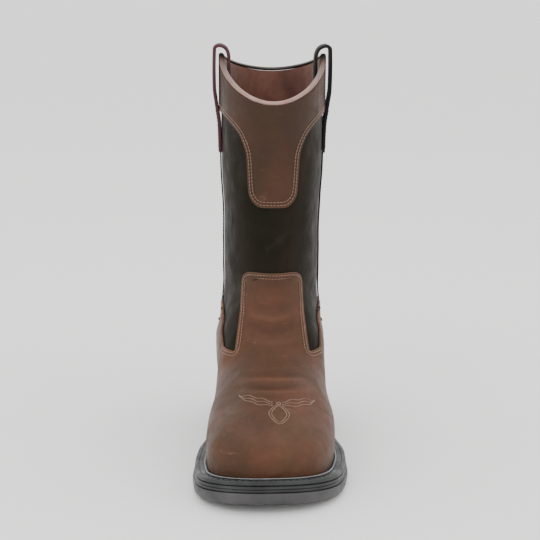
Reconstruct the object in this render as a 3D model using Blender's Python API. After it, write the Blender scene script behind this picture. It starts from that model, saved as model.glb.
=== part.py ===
"""A left western work boot that stands on the floor with its toe towards -Y.

The pull-on leather upper has a square toe, a scalloped collar and two pull straps, on a welted rubber
sole with a heel. Points are worked out as (across, along, up): across is +X, towards the little toe,
along is measured from the back of the heel to the toe, and up is the height above the floor.
"""

import functools
import math

import bmesh
import bpy
import numpy as np

# Upper, in metres
UPPER_LENGTH = 0.294
BALL_WIDTH = 0.100
INSTEP_RISE = 0.080
SHAFT_DEPTH = 0.146
SHAFT_WIDTH = 0.089
ANKLE_RISE = 0.120
EAR_HEIGHT = 0.3315
FRONT_DIP = 0.036
BACK_DIP = 0.0165
SEAM_STATION = 0.077
WALL = 0.0022
OVERLAY = 0.0015
GAP = 0.0003
STAND = 0.0005
TOE_SLANT = 0.16
TOE_POLE_RISE = 0.016
TOE_CORNER = 0.022
MEDIAL_CORNER = 2.4
LATERAL_CORNER = 2.65
TOE_PROFILE = 2.3
TOE_KEEL = 5.0

# Layers round the collar: heights are drops below the ears, in metres
SHIELD_HALF = 0.0205
SHIELD_DROP = 0.1215
SHOULDER_DROP = 0.0755
COLLAR_SIDE_DROP = 0.0445
COLLAR_BACK_DROP = 0.0695
STRAP_WIDTH = 0.028
STRAP_THICK = 0.0026
STRAP_DROP = 0.0815
STRAP_INNER_DROP = 0.0515

# Sole, in metres
WELT_THICK = 0.0035
MIDSOLE_THICK = 0.005
OUTSOLE_THICK = 0.009
HEEL_BLOCK = 0.026
HEEL_LENGTH = 0.072
TOE_SPRING = 0.009
WELT_MARGIN = 0.0115
WELT_UNDER_UPPER = 0.004
INSOLE_THICK = 0.003
INSOLE_CLEARANCE = 0.0012
LUG_DEPTH = 0.004

# Mesh fineness
COLUMNS = 24
TOE_ROWS = 5
FOOT_ROWS = 18
SHAFT_ROWS = 11
OUTLINE_POINTS = 60
HEEL_FINENESS = (1.8, 1, 1)
FINE = 90

# Underside of the sole: station as a share of the upper's length, height as a share of the heel block
# or the toe spring, and thickness as a share of the outsole's.
TREAD = (
    # station, of heel block, of toe spring, thickness
    (-0.03, 1.00, 0.00, 0.67),
    (0.18, 1.00, 0.00, 0.67),
    (0.25, 0.95, 0.00, 0.67),
    (0.33, 0.77, 0.00, 0.67),
    (0.42, 0.45, 0.00, 0.72),
    (0.51, 0.15, 0.00, 0.85),
    (0.60, 0.00, 0.00, 1.00),
    (0.82, 0.00, 0.00, 1.00),
    (0.90, 0.00, 0.18, 1.00),
    (0.97, 0.00, 0.50, 1.00),
    (1.05, 0.00, 1.00, 1.00),
)

# Forefoot sections, upright planes. Stations run from the shaft's front (0) to the toe tip (1), the rise
# is a share of the instep's, half widths are shares of the ball width, and widest is the share of the
# section's height at which it is widest.
FOOT = (
    # ridge station, sole station, rise, medial, lateral, widest, ridge power, sole power
    (0.70, 0.70, 0.56, 0.505, 0.455, 0.44, 2.5, 4.5),
    (0.58, 0.58, 0.61, 0.520, 0.480, 0.44, 2.4, 4.5),
    (0.40, 0.40, 0.71, 0.510, 0.490, 0.44, 2.3, 4.2),
    (0.23, 0.23, 0.84, 0.480, 0.470, 0.44, 2.1, 3.8),
    (0.115, 0.03, 1.00, 0.460, 0.450, 0.45, 2.0, 3.4),
)
SOLE_DROP = 0.13

# Ankle and shaft sections, planes that fan back round the heel and then lie level. Stations are shares of
# the shaft's depth. A level of 0 is the heel seat, 1 is the ankle rise and 2 the ears' height.
SHAFT = (
    # front, front level, back, back level, medial, lateral, widest, front power, back power
    (1.062, 0.64, 0.753, -0.178, 0.500, 0.500, 0.50, 2.0, 3.0),
    (1.034, 0.75, 0.411, -0.128, 0.520, 0.510, 0.48, 2.0, 2.8),
    (1.017, 0.85, 0.075, -0.112, 0.525, 0.515, 0.43, 2.0, 2.6),
    (1.007, 0.95, 0.007, 0.088, 0.490, 0.490, 0.41, 2.0, 2.4),
    (1.002, 1.026, 0.017, 0.363, 0.468, 0.468, 0.46, 2.1, 2.3),
    (1.000, 1.096, 0.045, 0.655, 0.461, 0.461, 0.49, 2.2, 2.2),
    (1.000, 1.194, 0.051, 0.988, 0.462, 0.462, 0.50, 2.2, 2.2),
    (1.000, 1.309, 0.041, 1.251, 0.470, 0.470, 0.50, 2.2, 2.2),
    (1.003, 1.453, 0.031, 1.453, 0.490, 0.490, 0.50, 2.2, 2.2),
    (1.014, 1.741, 0.017, 1.741, 0.497, 0.497, 0.50, 2.2, 2.2),
    (1.027, 2.000, 0.000, 2.000, 0.500, 0.500, 0.50, 2.2, 2.2),
)
LEVEL_ROW = len(FOOT) + 8


def smooth(at, knots, values):
    """A curve through the values that never swings past them, read at each place in at."""
    knots = np.asarray(knots, float)
    values = np.asarray(values, float).reshape(len(knots), -1)
    steps = np.diff(knots)[:, None]
    secants = np.diff(values, axis=0) / steps
    slopes = np.empty_like(values)
    slopes[0], slopes[-1] = secants[0], secants[-1]
    before, after = secants[:-1], secants[1:]
    same_way = before * after > 0
    mean = 2 * before * after / np.where(same_way, before + after, 1)
    slopes[1:-1] = np.where(same_way, mean, 0)
    at = np.clip(np.atleast_1d(at), knots[0], knots[-1])
    i = np.clip(np.searchsorted(knots, at, side="right") - 1, 0, len(knots) - 2)
    step = steps[i]
    f = (at[:, None] - knots[i][:, None]) / step
    rise = values[i] * (1 + 2 * f) * (1 - f) ** 2 + values[i + 1] * f * f * (3 - 2 * f)
    turn = slopes[i] * f * (1 - f) ** 2 - slopes[i + 1] * f * f * (1 - f)
    return rise + step * turn


def tread(along):
    """Height of the outsole's underside, and the outsole's thickness, at each station."""
    rows = np.array(TREAD)
    height = rows[:, 1] * HEEL_BLOCK + rows[:, 2] * TOE_SPRING
    thickness = rows[:, 3] * OUTSOLE_THICK
    found = smooth(along, rows[:, 0] * UPPER_LENGTH, np.column_stack([height, thickness]))
    return found[:, 0], found[:, 1]


def under_outsole(along):
    return tread(along)[0]


def top_of_outsole(along):
    height, thickness = tread(along)
    return height + thickness


def under_midsole(along):
    return top_of_outsole(along) + GAP


def top_of_midsole(along):
    return under_midsole(along) + MIDSOLE_THICK


def under_welt(along):
    return top_of_midsole(along) + STAND


def seat(along):
    """Height of the welt's top, on which the upper stands."""
    return under_welt(along) + WELT_THICK


def section_table():
    """Every section as front along, front up, back along, back up, half widths, widest and powers."""
    reach = UPPER_LENGTH - SHAFT_DEPTH
    heel_seat = seat(0.0)[0]
    rows = []
    for ridge, sole, rise, medial, lateral, widest, ridge_power, sole_power in FOOT:
        front = SHAFT_DEPTH + ridge * reach
        back = SHAFT_DEPTH + sole * reach
        front_up = seat(front)[0] + rise * INSTEP_RISE
        back_up = seat(back)[0] - SOLE_DROP * INSTEP_RISE
        half = medial * BALL_WIDTH, lateral * BALL_WIDTH
        rows.append((front, front_up, back, back_up, *half, widest, ridge_power, sole_power))
    leg = EAR_HEIGHT - heel_seat - ANKLE_RISE
    for front, front_level, back, back_level, medial, lateral, *rest in SHAFT:
        ups = [
            heel_seat + min(level, 1) * ANKLE_RISE + max(level - 1, 0) * leg
            for level in (front_level, back_level)
        ]
        half = medial * SHAFT_WIDTH, lateral * SHAFT_WIDTH
        rows.append((front * SHAFT_DEPTH, ups[0], back * SHAFT_DEPTH, ups[1], *half, *rest))
    return np.array(rows)


SECTIONS = section_table()
TOP_ROW = len(SECTIONS) - 1


@functools.cache
def section(t):
    return smooth(t, np.arange(len(SECTIONS)), SECTIONS)[0]


def slanted(points):
    """Moves the toe's inner side forward and its outer side back, and keeps each point above its seat."""
    across, along, up = points.T
    start, end = 0.66 * UPPER_LENGTH, 0.92 * UPPER_LENGTH
    if (along <= start).all():
        return points
    f = np.clip((along - start) / (end - start), 0, 1)
    moved = along - TOE_SLANT * across * f * f * (3 - 2 * f)
    return np.column_stack([across, moved, up + seat(moved) - seat(along)])


def ring_points(t, angles):
    """Points of section t at angles from its front, positive towards the little toe."""
    front, front_up, back, back_up, medial, lateral, widest, front_power, back_power = section(t)
    centre = np.array([back + widest * (front - back), back_up + widest * (front_up - back_up)])
    axis = np.array([front, front_up]) - np.array([back, back_up])
    length = np.linalg.norm(axis)
    sines, cosines = np.sin(angles), np.cos(angles)
    power = np.where(cosines > 0, front_power, back_power)
    scale = (np.abs(sines) ** power + np.abs(cosines) ** power) ** (-1 / power)
    half = np.where(sines > 0, lateral, medial)
    reach = np.where(cosines > 0, 1 - widest, widest) * length
    side = centre + np.outer(reach * cosines * scale, axis / length)
    points = np.column_stack([half * sines * scale, side])
    if t > LEVEL_ROW:
        base, top = SECTIONS[LEVEL_ROW][1], SECTIONS[TOP_ROW][1]
        dip = np.where(cosines > 0, FRONT_DIP, BACK_DIP) * np.abs(cosines) ** 1.3
        share = (points[:, 2] - base) / (top - base)
        points[:, 2] = base + share * (EAR_HEIGHT - dip - base)
    return slanted(points)


def feather_angle(t, side):
    """Angle at which section t meets the seat, or half a turn where it stays above it."""

    def above(angle):
        point = ring_points(t, np.array([side * angle]))[0]
        return point[2] - seat(point[1])[0] - STAND

    if t > LEVEL_ROW or above(math.pi) >= 0:
        return math.pi
    low, high = math.pi / 2, math.pi
    for _ in range(40):
        middle = (low + high) / 2
        if above(middle) > 0:
            low = middle
        else:
            high = middle
    return low


def toe_curve(tilt, angles):
    """Arc over the toe in a plane tilted from level (0) to upright (1), cast out from inside the toe."""
    first, second = section(0.0), section(0.2)
    start = first[0]
    step = first[0] - second[0]
    width_slopes = (first[4:6] - second[4:6]) / step
    rises = [row[1] - seat(row[0])[0] for row in (first, second)]
    rise_slope = (rises[0] - rises[1]) / step
    drop = first[3] - seat(start)[0]
    origin = start + (UPPER_LENGTH - TOE_CORNER - start) * (1 - tilt)
    lean = tilt * math.pi / 2
    turn = np.column_stack(
        [np.sin(angles), np.cos(angles) * math.cos(lean), np.cos(angles) * math.sin(lean)]
    )

    def inside(points):
        across, along, up = points.T
        share = np.clip((along - start) / (UPPER_LENGTH - start), 0, 1)
        powers = (np.where(across > 0, LATERAL_CORNER, MEDIAL_CORNER), TOE_PROFILE, TOE_KEEL)
        plan, profile, keel = [(1 - share**power) ** (1 / power) for power in powers]
        past = along - start
        side = np.where(across > 0, first[5] + width_slopes[1] * past, first[4] + width_slopes[0] * past)
        top = TOE_POLE_RISE + (rises[0] + rise_slope * past - TOE_POLE_RISE) * profile
        low = TOE_POLE_RISE + (drop - TOE_POLE_RISE) * keel
        middle = low + first[6] * (top - low)
        power = np.where(up > middle, first[7], first[8])
        reach = np.maximum(np.where(up > middle, top - middle, middle - low), 1e-6)
        wide = np.maximum(side * plan, 1e-6)
        size = (np.abs(across) / wide) ** power + (np.abs(up - middle) / reach) ** power
        return (size < 1) & (along < UPPER_LENGTH)

    near, far = np.zeros(len(angles)), np.full(len(angles), 0.15)
    centre = np.array([0, origin, STAND])
    for _ in range(40):
        middle = (near + far) / 2
        hit = inside(centre + turn * middle[:, None])
        near, far = np.where(hit, middle, near), np.where(hit, far, middle)
    points = centre + turn * near[:, None]
    points[:, 2] += seat(points[:, 1])
    return slanted(points)


def evenly(points, count):
    """The curve's points at equal steps along it."""
    steps = np.linalg.norm(np.diff(points, axis=0), axis=1)
    along = np.concatenate([[0], np.cumsum(steps)])
    wanted = np.linspace(0, along[-1], count)
    return np.column_stack([np.interp(wanted, along, column) for column in points.T])


def row(t, columns=COLUMNS):
    """One row of the upper, from its inner end over the front to its outer end. Below 0, t is the toe."""
    halves = []
    for side in (-1, 1):
        if t < 0:
            half = toe_curve(t + 1, side * np.linspace(0, math.pi / 2, FINE))
        else:
            half = ring_points(t, side * np.linspace(0, feather_angle(t, side), FINE))
        halves.append(evenly(half, columns // 2 + 1))
    return np.concatenate([halves[0][::-1], halves[1][1:]])


def closing_row():
    """The t at which the sections stop meeting the seat, at the back of the heel."""
    low, high = float(len(FOOT)), float(LEVEL_ROW)
    for _ in range(40):
        middle = (low + high) / 2
        if feather_angle(middle, 1) < math.pi:
            low = middle
        else:
            high = middle
    return high


CLOSING = closing_row()


def feather_ends(count):
    """Where the rows from the toe box to the heel's back meet the seat, and their t."""
    ts = np.linspace(0, CLOSING, count)
    ends = [
        [ring_points(t, np.array([side * feather_angle(t, side)]))[0] for side in (-1, 1)] for t in ts
    ]
    return ts, np.array(ends)


def row_places():
    """The t of each row: even steps of the feather line, closer round the heel, and then of the shaft."""
    ts, ends = feather_ends(FINE)
    steps = np.linalg.norm(np.diff(ends, axis=0) * HEEL_FINENESS, axis=2).sum(axis=1)
    run = np.concatenate([[0], np.cumsum(steps)])
    foot = np.interp(np.linspace(0, run[-1], FOOT_ROWS + 1), run, ts)
    backs = np.linspace(CLOSING, TOP_ROW, FINE)
    line = np.array([ring_points(t, np.array([math.pi]))[0] for t in backs])
    front = np.array([ring_points(t, np.array([0.0]))[0] for t in backs])
    steps = np.linalg.norm(np.diff(line, axis=0), axis=1) + np.linalg.norm(np.diff(front, axis=0), axis=1)
    run = np.concatenate([[0], np.cumsum(steps)])
    shaft = np.interp(np.linspace(0, run[-1], SHAFT_ROWS + 1), run, backs)
    toe = np.linspace(-1, 0, TOE_ROWS + 1)
    return np.concatenate([toe[:-1], foot, shaft[1:]])


def upper_grid():
    """The last's surface as rows of points, and which rows are closed rings."""
    places = row_places()
    points = np.array([row(t) for t in places])
    return points, places >= CLOSING


def facets(rows, columns):
    """Triangles of a grid, as corners (row, column), mirrored about its middle column."""
    found = []
    for i in range(rows - 1):
        for j in range(columns - 1):
            a, b, c, d = (i, j), (i, j + 1), (i + 1, j + 1), (i + 1, j)
            if 2 * j < columns - 1:
                found += [(a, b, c), (a, c, d)]
            else:
                found += [(a, b, d), (b, c, d)]
    return np.array(found)


def outward(points, rings):
    """Outward direction at each point of the grid, level along its lower and upper edges."""
    normals = np.zeros_like(points)
    corners = facets(*points.shape[:2])
    a, b, c = [points[tuple(corners[:, k].T)] for k in range(3)]
    for k in range(3):
        np.add.at(normals, tuple(corners[:, k].T), np.cross(c - a, b - a))
    normals[rings, 0] = normals[rings, -1] = normals[rings, 0] + normals[rings, -1]
    edge = np.zeros(points.shape[:2], bool)
    edge[0] = edge[-1] = True
    edge[~rings, 0] = edge[~rings, -1] = True
    edge[np.flatnonzero(rings)[0], [0, -1]] = True
    normals[edge, 2] = 0
    return normals / np.linalg.norm(normals, axis=2, keepdims=True)


GRID, RINGS = upper_grid()
OUTWARD = outward(GRID, RINGS)


# Outlines in (across, along) that the sole's layers share


def feather_line():
    """The upper's foot on the seat, from the heel's back round the inner side, the toe and the outer side."""
    ends = feather_ends(FINE)[1][::-1, :, :2]
    corners = np.array([row(t)[[0, -1], :2] for t in np.linspace(0, -1, TOE_ROWS * 3)])
    front = row(-1.0)[:, :2]
    inner = np.concatenate([ends[:, 0], corners[1:, 0], front[1 : COLUMNS // 2 + 1]])
    outer = np.concatenate([ends[:, 1], corners[1:, 1], front[::-1][1 : COLUMNS // 2 + 1]])
    return inner, outer


FEATHER = feather_line()

# Welt's margin round the upper, as a share of WELT_MARGIN, at shares of the upper's length
MARGIN = ((0.00, 0.56), (0.20, 0.54), (0.42, 0.52), (0.58, 0.95), (0.70, 1.02), (1.00, 0.98))


def outline(grow, margin=1.0):
    """Closed outline at the feather line plus margin times the welt's margin, plus grow."""
    half = OUTLINE_POINTS // 2
    inner, outer = [evenly(side, 4 * half + 1) for side in FEATHER]
    line = np.concatenate([inner, outer[::-1][1:-1]])
    run = np.roll(line, -1, axis=0) - np.roll(line, 1, axis=0)
    normals = np.column_stack([-run[:, 1], run[:, 0]]) / np.linalg.norm(run, axis=1)[:, None]
    share = smooth(line[:, 1] / UPPER_LENGTH, *np.array(MARGIN).T)[:, 0]
    moved = line + normals * (margin * share * WELT_MARGIN + grow)[:, None]
    toe = 4 * half
    sides = moved[: toe + 1], np.concatenate([moved[:1], moved[:toe - 1 : -1]])
    inner, outer = [evenly(side, half + 1) for side in sides]
    return np.concatenate([inner, outer[::-1][1:-1]])


def at_height(ring, height):
    return np.column_stack([ring, height(ring[:, 1])])


# Solids


def material(name, colour, roughness, metallic=0.0):
    made = bpy.data.materials.new(name)
    made.use_nodes = True
    shader = made.node_tree.nodes["Principled BSDF"]
    shader.inputs["Base Color"].default_value = (*colour, 1)
    shader.inputs["Roughness"].default_value = roughness
    shader.inputs["Metallic"].default_value = metallic
    made.diffuse_color = (*colour, 1)
    return made


def solid(name, points, faces, finish=None):
    """A mesh object from points in boot coordinates, its faces turned outwards. Without a finish it is a cutter."""
    bm = bmesh.new()
    verts = [bm.verts.new((across, -along, up)) for across, along, up in points]
    for face in faces:
        if len(set(face)) > 2:
            bm.faces.new([verts[i] for i in dict.fromkeys(face)])
    bmesh.ops.delete(bm, geom=[v for v in bm.verts if not v.link_faces], context="VERTS")
    bmesh.ops.recalc_face_normals(bm, faces=bm.faces)
    mesh = bpy.data.meshes.new(name)
    bm.to_mesh(mesh)
    bm.free()
    made = bpy.data.objects.new(name, mesh)
    bpy.context.scene.collection.objects.link(made)
    made.parent = bpy.data.objects["boot"]
    if finish:
        mesh.materials.append(finish)
        mesh.shade_smooth()
        mesh.set_sharp_from_angle(angle=math.radians(35))
    else:
        made.hide_render = True
        made.display_type = "WIRE"
    return made


def boolean(piece, operation, cutter):
    modifier = piece.modifiers.new(cutter.name, "BOOLEAN")
    modifier.operation = operation
    modifier.solver = "EXACT"
    modifier.object = cutter


def skin(name, inner, outer, rings, finish):
    """A closed wall between two grids of points whose rows marked in rings close on themselves."""
    rows, columns = outer.shape[:2]

    def index(layer, i, j):
        if rings[i] and j == columns - 1:
            j = 0
        return (layer * rows + i) * columns + j

    faces, edges = [], {}
    for corners in facets(rows, columns):
        for layer in (0, 1):
            faces.append([index(layer, *corner) for corner in corners])
        for a, b in zip(corners, np.roll(corners, -1, axis=0)):
            edges.setdefault(frozenset((index(0, *a), index(0, *b))), []).append((a, b))
    for key, found in edges.items():
        if len(found) == 1 and len(key) == 2:
            a, b = found[0]
            faces.append([index(0, *a), index(0, *b), index(1, *b), index(1, *a)])
    points = np.concatenate([inner.reshape(-1, 3), outer.reshape(-1, 3)])
    return solid(name, points, faces, finish)


def stack(name, rings, finish=None, hollow=False):
    """A solid through closed rings of points, capped at both ends, or closed on itself if hollow."""
    count = len(rings[0])
    faces = []
    pairs = list(zip(range(len(rings)), range(1, len(rings))))
    if hollow:
        pairs.append((len(rings) - 1, 0))
    for low, high in pairs:
        for j in range(count):
            k = (j + 1) % count
            faces.append([low * count + j, low * count + k, high * count + k, high * count + j])
    for first in () if hollow else (0, (len(rings) - 1) * count):
        for j in range(count // 2):
            face = [j, j + 1, (count - j - 1) % count, (count - j) % count]
            faces.append([first + i for i in face])
    return solid(name, np.concatenate(rings), faces, finish)


def prism(name, profile, start, end, axis):
    """A cutter: a closed outline run from start to end along one axis, 0 across or 1 along."""
    rings = [np.insert(np.array(profile, float), axis, reach, axis=1) for reach in (start, end)]
    count = len(profile)
    faces = [list(range(count)), list(range(count, 2 * count))]
    for j in range(count):
        k = (j + 1) % count
        faces.append([j, k, count + k, count + j])
    return solid(name, np.concatenate(rings), faces)


def rounded(corners, radius):
    """The closed outline with an arc of four points in place of each corner."""
    points = []
    corners = np.array(corners, float)
    for before, corner, after in zip(np.roll(corners, 1, 0), corners, np.roll(corners, -1, 0)):
        a, b = before - corner, after - corner
        reach = min(radius, 0.45 * np.linalg.norm(a), 0.45 * np.linalg.norm(b))
        start = corner + a / np.linalg.norm(a) * reach
        end = corner + b / np.linalg.norm(b) * reach
        for f in (0, 1 / 3, 2 / 3, 1):
            points.append((1 - f) ** 2 * start + 2 * f * (1 - f) * corner + f * f * end)
    return points


# Upper


def upper_wall(leather):
    return skin("upper", GRID - WALL * OUTWARD, GRID, RINGS, leather)


def overlay(name, cutter, leather):
    """A leather layer over the upper, cut out by the cutter."""
    piece = skin(name, GRID + GAP * OUTWARD, GRID + (GAP + OVERLAY) * OUTWARD, RINGS, leather)
    boolean(piece, "INTERSECT", cutter)
    return piece


REACH = 0.2
TAB_TOP = 0.1545
TAB_HALF = 0.0255
WEDGE_HALF = 0.033
WEDGE_STATION = 0.142
WEDGE_HEIGHT = 0.090
WING_HEIGHT = 0.116


def vamp(leather):
    """The foot's overlay: toe, instep tab and the wings that rise to the side seams."""
    front = UPPER_LENGTH + REACH
    seam = SEAM_STATION + GAP / 2
    wing = SEAM_STATION + 0.4 * (WEDGE_STATION - SEAM_STATION)
    side = [
        (seam, -REACH),
        (seam, WING_HEIGHT),
        (wing, WING_HEIGHT - 0.003),
        (WEDGE_STATION, WEDGE_HEIGHT),
        (front, WEDGE_HEIGHT),
        (front, -REACH),
    ]
    foot = prism("vamp_side_outline", side, -REACH, REACH, 0)
    tab = [
        (-WEDGE_HALF, WEDGE_HEIGHT - 0.010),
        (-TAB_HALF - 0.0015, (WEDGE_HEIGHT + TAB_TOP) / 2),
        (-TAB_HALF, TAB_TOP),
        (TAB_HALF, TAB_TOP),
        (TAB_HALF + 0.0015, (WEDGE_HEIGHT + TAB_TOP) / 2),
        (WEDGE_HALF, WEDGE_HEIGHT - 0.010),
    ]
    tongue = prism("vamp_tab_outline", rounded(tab, 0.009), SEAM_STATION, front, 1)
    boolean(foot, "UNION", tongue)
    return overlay("vamp", foot, leather)


COUNTER_BACK = 0.124


def counter(leather):
    """The overlay round the heel, from seam to seam."""
    seam = SEAM_STATION - GAP / 2
    side = [
        (-REACH, -REACH),
        (-REACH, COUNTER_BACK),
        (0.2 * seam, COUNTER_BACK),
        (0.6 * seam, (COUNTER_BACK + WING_HEIGHT) / 2 - 0.006),
        (seam, WING_HEIGHT),
        (seam, -REACH),
    ]
    return overlay("counter", prism("counter_outline", side, -REACH, REACH, 0), leather)


SHIELD_FOOT = EAR_HEIGHT - SHIELD_DROP
SHIELD_SHOULDER = EAR_HEIGHT - SHOULDER_DROP
COLLAR_SIDE = EAR_HEIGHT - COLLAR_SIDE_DROP
COLLAR_BACK_FOOT = EAR_HEIGHT - COLLAR_BACK_DROP


def collars(leather):
    """The brown layers round the collar: a shield in front and a scallop behind."""
    edge = SHAFT_WIDTH
    shield = [
        (-edge, COLLAR_SIDE + 0.004),
        (-0.50 * SHAFT_WIDTH, COLLAR_SIDE),
        (-0.32 * SHAFT_WIDTH, (COLLAR_SIDE + SHIELD_SHOULDER) / 2),
        (-SHIELD_HALF - 0.002, SHIELD_SHOULDER),
        (-SHIELD_HALF, SHIELD_FOOT + 0.009),
        (-SHIELD_HALF + 0.007, SHIELD_FOOT),
    ]
    shield += [(-across, up) for across, up in shield[::-1]]
    shield += [(edge, EAR_HEIGHT + REACH), (-edge, EAR_HEIGHT + REACH)]
    seam = SEAM_STATION + GAP / 2
    front = prism("collar_front_outline", rounded(shield, 0.006), seam, REACH + seam, 1)
    overlay("collar_front", front, leather)
    count = 12
    scallop = []
    for i in range(count + 1):
        share = 2 * i / count - 1
        dip = (COLLAR_SIDE - COLLAR_BACK_FOOT) * math.cos(share * math.pi / 2) ** 2
        scallop.append((share * SHAFT_WIDTH / 2, COLLAR_SIDE - dip))
    scallop = [(-edge, COLLAR_SIDE), *scallop, (edge, COLLAR_SIDE)]
    scallop += [(edge, EAR_HEIGHT + REACH), (-edge, EAR_HEIGHT + REACH)]
    back = prism("collar_back_outline", scallop, -REACH, SEAM_STATION - GAP / 2, 1)
    overlay("collar_back", back, leather)


BINDING_HALF = 0.0023
BINDING_HEIGHT = 0.0032


def collar_binding(leather):
    """The rolled edge, a bead that sits on the rim of the upper and its overlays."""
    rim = GRID[-1][:-1]
    out = OUTWARD[-1][:-1]
    run = np.roll(rim, -1, axis=0) - np.roll(rim, 1, axis=0)
    up = np.cross(run, out)
    up /= np.linalg.norm(up, axis=1)[:, None]
    up *= np.sign(up[:, 2])[:, None]
    centre = rim + up * (GAP + BINDING_HEIGHT / 2) + out * (GAP + OVERLAY - WALL) / 2
    rings = []
    sides = 8
    for k in range(sides):
        angle = 2 * math.pi * (k + 0.5) / sides
        lift = up * math.sin(angle) * BINDING_HEIGHT / 2
        rings.append(centre + lift + out * math.cos(angle) * BINDING_HALF)
    return stack("collar_binding", rings, leather, hollow=True)


def on_side(along, up, side):
    """Point of the upper beside the given station and height, and its outward direction."""
    t, angle = 10.0, side * math.pi / 2
    step = 1e-4
    up = min(up, EAR_HEIGHT - 0.001)
    for _ in range(12):
        here = ring_points(t, np.array([angle]))[0]
        by_t = (ring_points(t - step, np.array([angle]))[0] - here) / -step
        by_angle = (ring_points(t, np.array([angle + step]))[0] - here) / step
        error = np.array([along, up]) - here[1:]
        change = np.linalg.solve(np.column_stack([by_t[1:], by_angle[1:]]), error)
        t = float(np.clip(t + np.clip(change[0], -2, 2), len(FOOT), TOP_ROW))
        angle += float(np.clip(change[1], -0.5, 0.5))
    out = np.cross(by_t, by_angle)
    out *= side * np.sign(out[0])
    return here, out / np.linalg.norm(out)


def strip(name, side, lanes, path, thick, leather):
    """A strap or seam: path holds (distance from the upper, height) of its middle, lanes its stations."""
    path = np.array(path)
    run = np.gradient(path, axis=0)
    turn = np.column_stack([run[:, 1], -run[:, 0]]) / np.linalg.norm(run, axis=1)[:, None]
    faces = []
    for shift in (-thick / 2, thick / 2):
        face = np.empty((len(path), len(lanes), 3))
        for i, (distance, up) in enumerate(path + shift * turn):
            for j, along in enumerate(lanes):
                here, out = on_side(along, up, side)
                face[i, j] = here + out * distance
                face[i, j, 1:] = along, up
        faces.append(face)
    open_rows = np.zeros(len(path), bool)
    return skin(name, *faces, open_rows, leather)


STRAP_FOOT = EAR_HEIGHT - STRAP_DROP
STRAP_INNER_FOOT = EAR_HEIGHT - STRAP_INNER_DROP
LOOP_RISE = 0.010
LOOP_HALF = 0.0062


def pull_strap(name, side, leather):
    """A strap sewn to the shaft below the ear, looped over the ear and sewn inside."""
    near = GAP + STRAP_THICK / 2
    over = OVERLAY + 2 * GAP + STRAP_THICK / 2 + 0.0001
    inside = -WALL - near
    ear = EAR_HEIGHT
    route = [
        (near, STRAP_FOOT),
        (near + 0.0002, STRAP_FOOT + 0.35 * (COLLAR_SIDE - STRAP_FOOT)),
        (0.6 * over, STRAP_FOOT + 0.65 * (COLLAR_SIDE - STRAP_FOOT)),
        (over, COLLAR_SIDE - 0.0025),
        (over + 0.0014, COLLAR_SIDE + 0.007),
        (LOOP_HALF, COLLAR_SIDE + 0.018),
        (LOOP_HALF + 0.0002, ear - 0.012),
        (LOOP_HALF, ear),
        (0.95 * LOOP_HALF, ear + 0.75 * LOOP_RISE),
        (0.3 * LOOP_HALF, ear + LOOP_RISE),
        (-0.6 * LOOP_HALF, ear + 0.75 * LOOP_RISE),
        (-LOOP_HALF - 0.0004, ear - 0.001),
        (-LOOP_HALF - 0.0004, ear - 0.016),
        (inside - 0.0006, COLLAR_SIDE + 0.010),
        (inside, STRAP_INNER_FOOT),
    ]
    knots = np.arange(len(route))
    places = np.linspace(0, len(route) - 1, 2 * len(route) - 1)
    path = smooth(places, knots, route)
    lanes = SEAM_STATION + STRAP_WIDTH * np.linspace(-0.5, 0.5, 4)
    return strip(name, side, lanes, path, STRAP_THICK, leather)


SEAM_WIDTH = 0.006
SEAM_THICK = 0.0011


def side_seam(name, side, leather):
    middle = GAP + SEAM_THICK / 2
    ups = np.linspace(WING_HEIGHT + OVERLAY, STRAP_FOOT - 2 * GAP, 8)
    path = [(middle, up) for up in ups]
    lanes = SEAM_STATION + SEAM_WIDTH * np.array([-0.5, 0, 0.5])
    return strip(name, side, lanes, path, SEAM_THICK, leather)


# Sole

SOLE_EDGE = 0.0018
TREAD_TAPER = 0.0030
HEEL_TAPER = 0.004
GROOVE = 0.0016
LIP_START = 0.0029
LIP_LEAN = 0.25
LIP_WIDTH = 0.0014
LIP_RISE = 0.0014


def welt(rubber):
    def ring(grow, margin, lift):
        line = outline(grow, margin)
        return at_height(line, lambda along: seat(along) + lift)

    def under(grow, margin):
        return at_height(outline(grow, margin), under_welt)

    def lip(reach, lift):
        """The lip stands clear of the upper, which leans out more where the welt is narrow."""
        return ring(LIP_START + LIP_LEAN * WELT_MARGIN + reach, -LIP_LEAN, lift)

    profile = [
        under(-WELT_UNDER_UPPER, 0),
        under(-0.0006, 1),
        at_height(outline(0, 1), lambda along: under_welt(along) + WELT_THICK / 3),
        ring(0, 1, -WELT_THICK / 4),
        ring(-0.0008, 1, 0),
        lip(LIP_WIDTH, 0),
        lip(0.8 * LIP_WIDTH, LIP_RISE),
        lip(0, LIP_RISE),
        lip(0, 0),
        ring(-WELT_UNDER_UPPER, 0, 0),
    ]
    return stack("welt", profile, rubber, hollow=True)


def midsole(rubber):
    """A plate as wide as the sole less a groove, and the filler that stands inside the welt."""
    edge = SOLE_EDGE - GROOVE
    filler = -WELT_UNDER_UPPER - GAP
    rings = [
        at_height(outline(edge, 1), under_midsole),
        at_height(outline(edge, 1), top_of_midsole),
        at_height(outline(filler, 0), top_of_midsole),
        at_height(outline(filler, 0), seat),
    ]
    return stack("midsole", rings, rubber)


def insole(board):
    inset = -WALL - INSOLE_CLEARANCE
    rings = [
        at_height(outline(inset, 0), lambda along: seat(along) + GAP),
        at_height(outline(inset, 0), lambda along: seat(along) + GAP + INSOLE_THICK),
    ]
    return stack("insole", rings, board)


LUG_PITCH = 0.017
LUG_GAP = 0.006
LUG_SWEEP = 0.35
FIRST_GROOVE = 0.605
LAST_GROOVE = 0.905
CENTRE_BAR = 0.009


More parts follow.
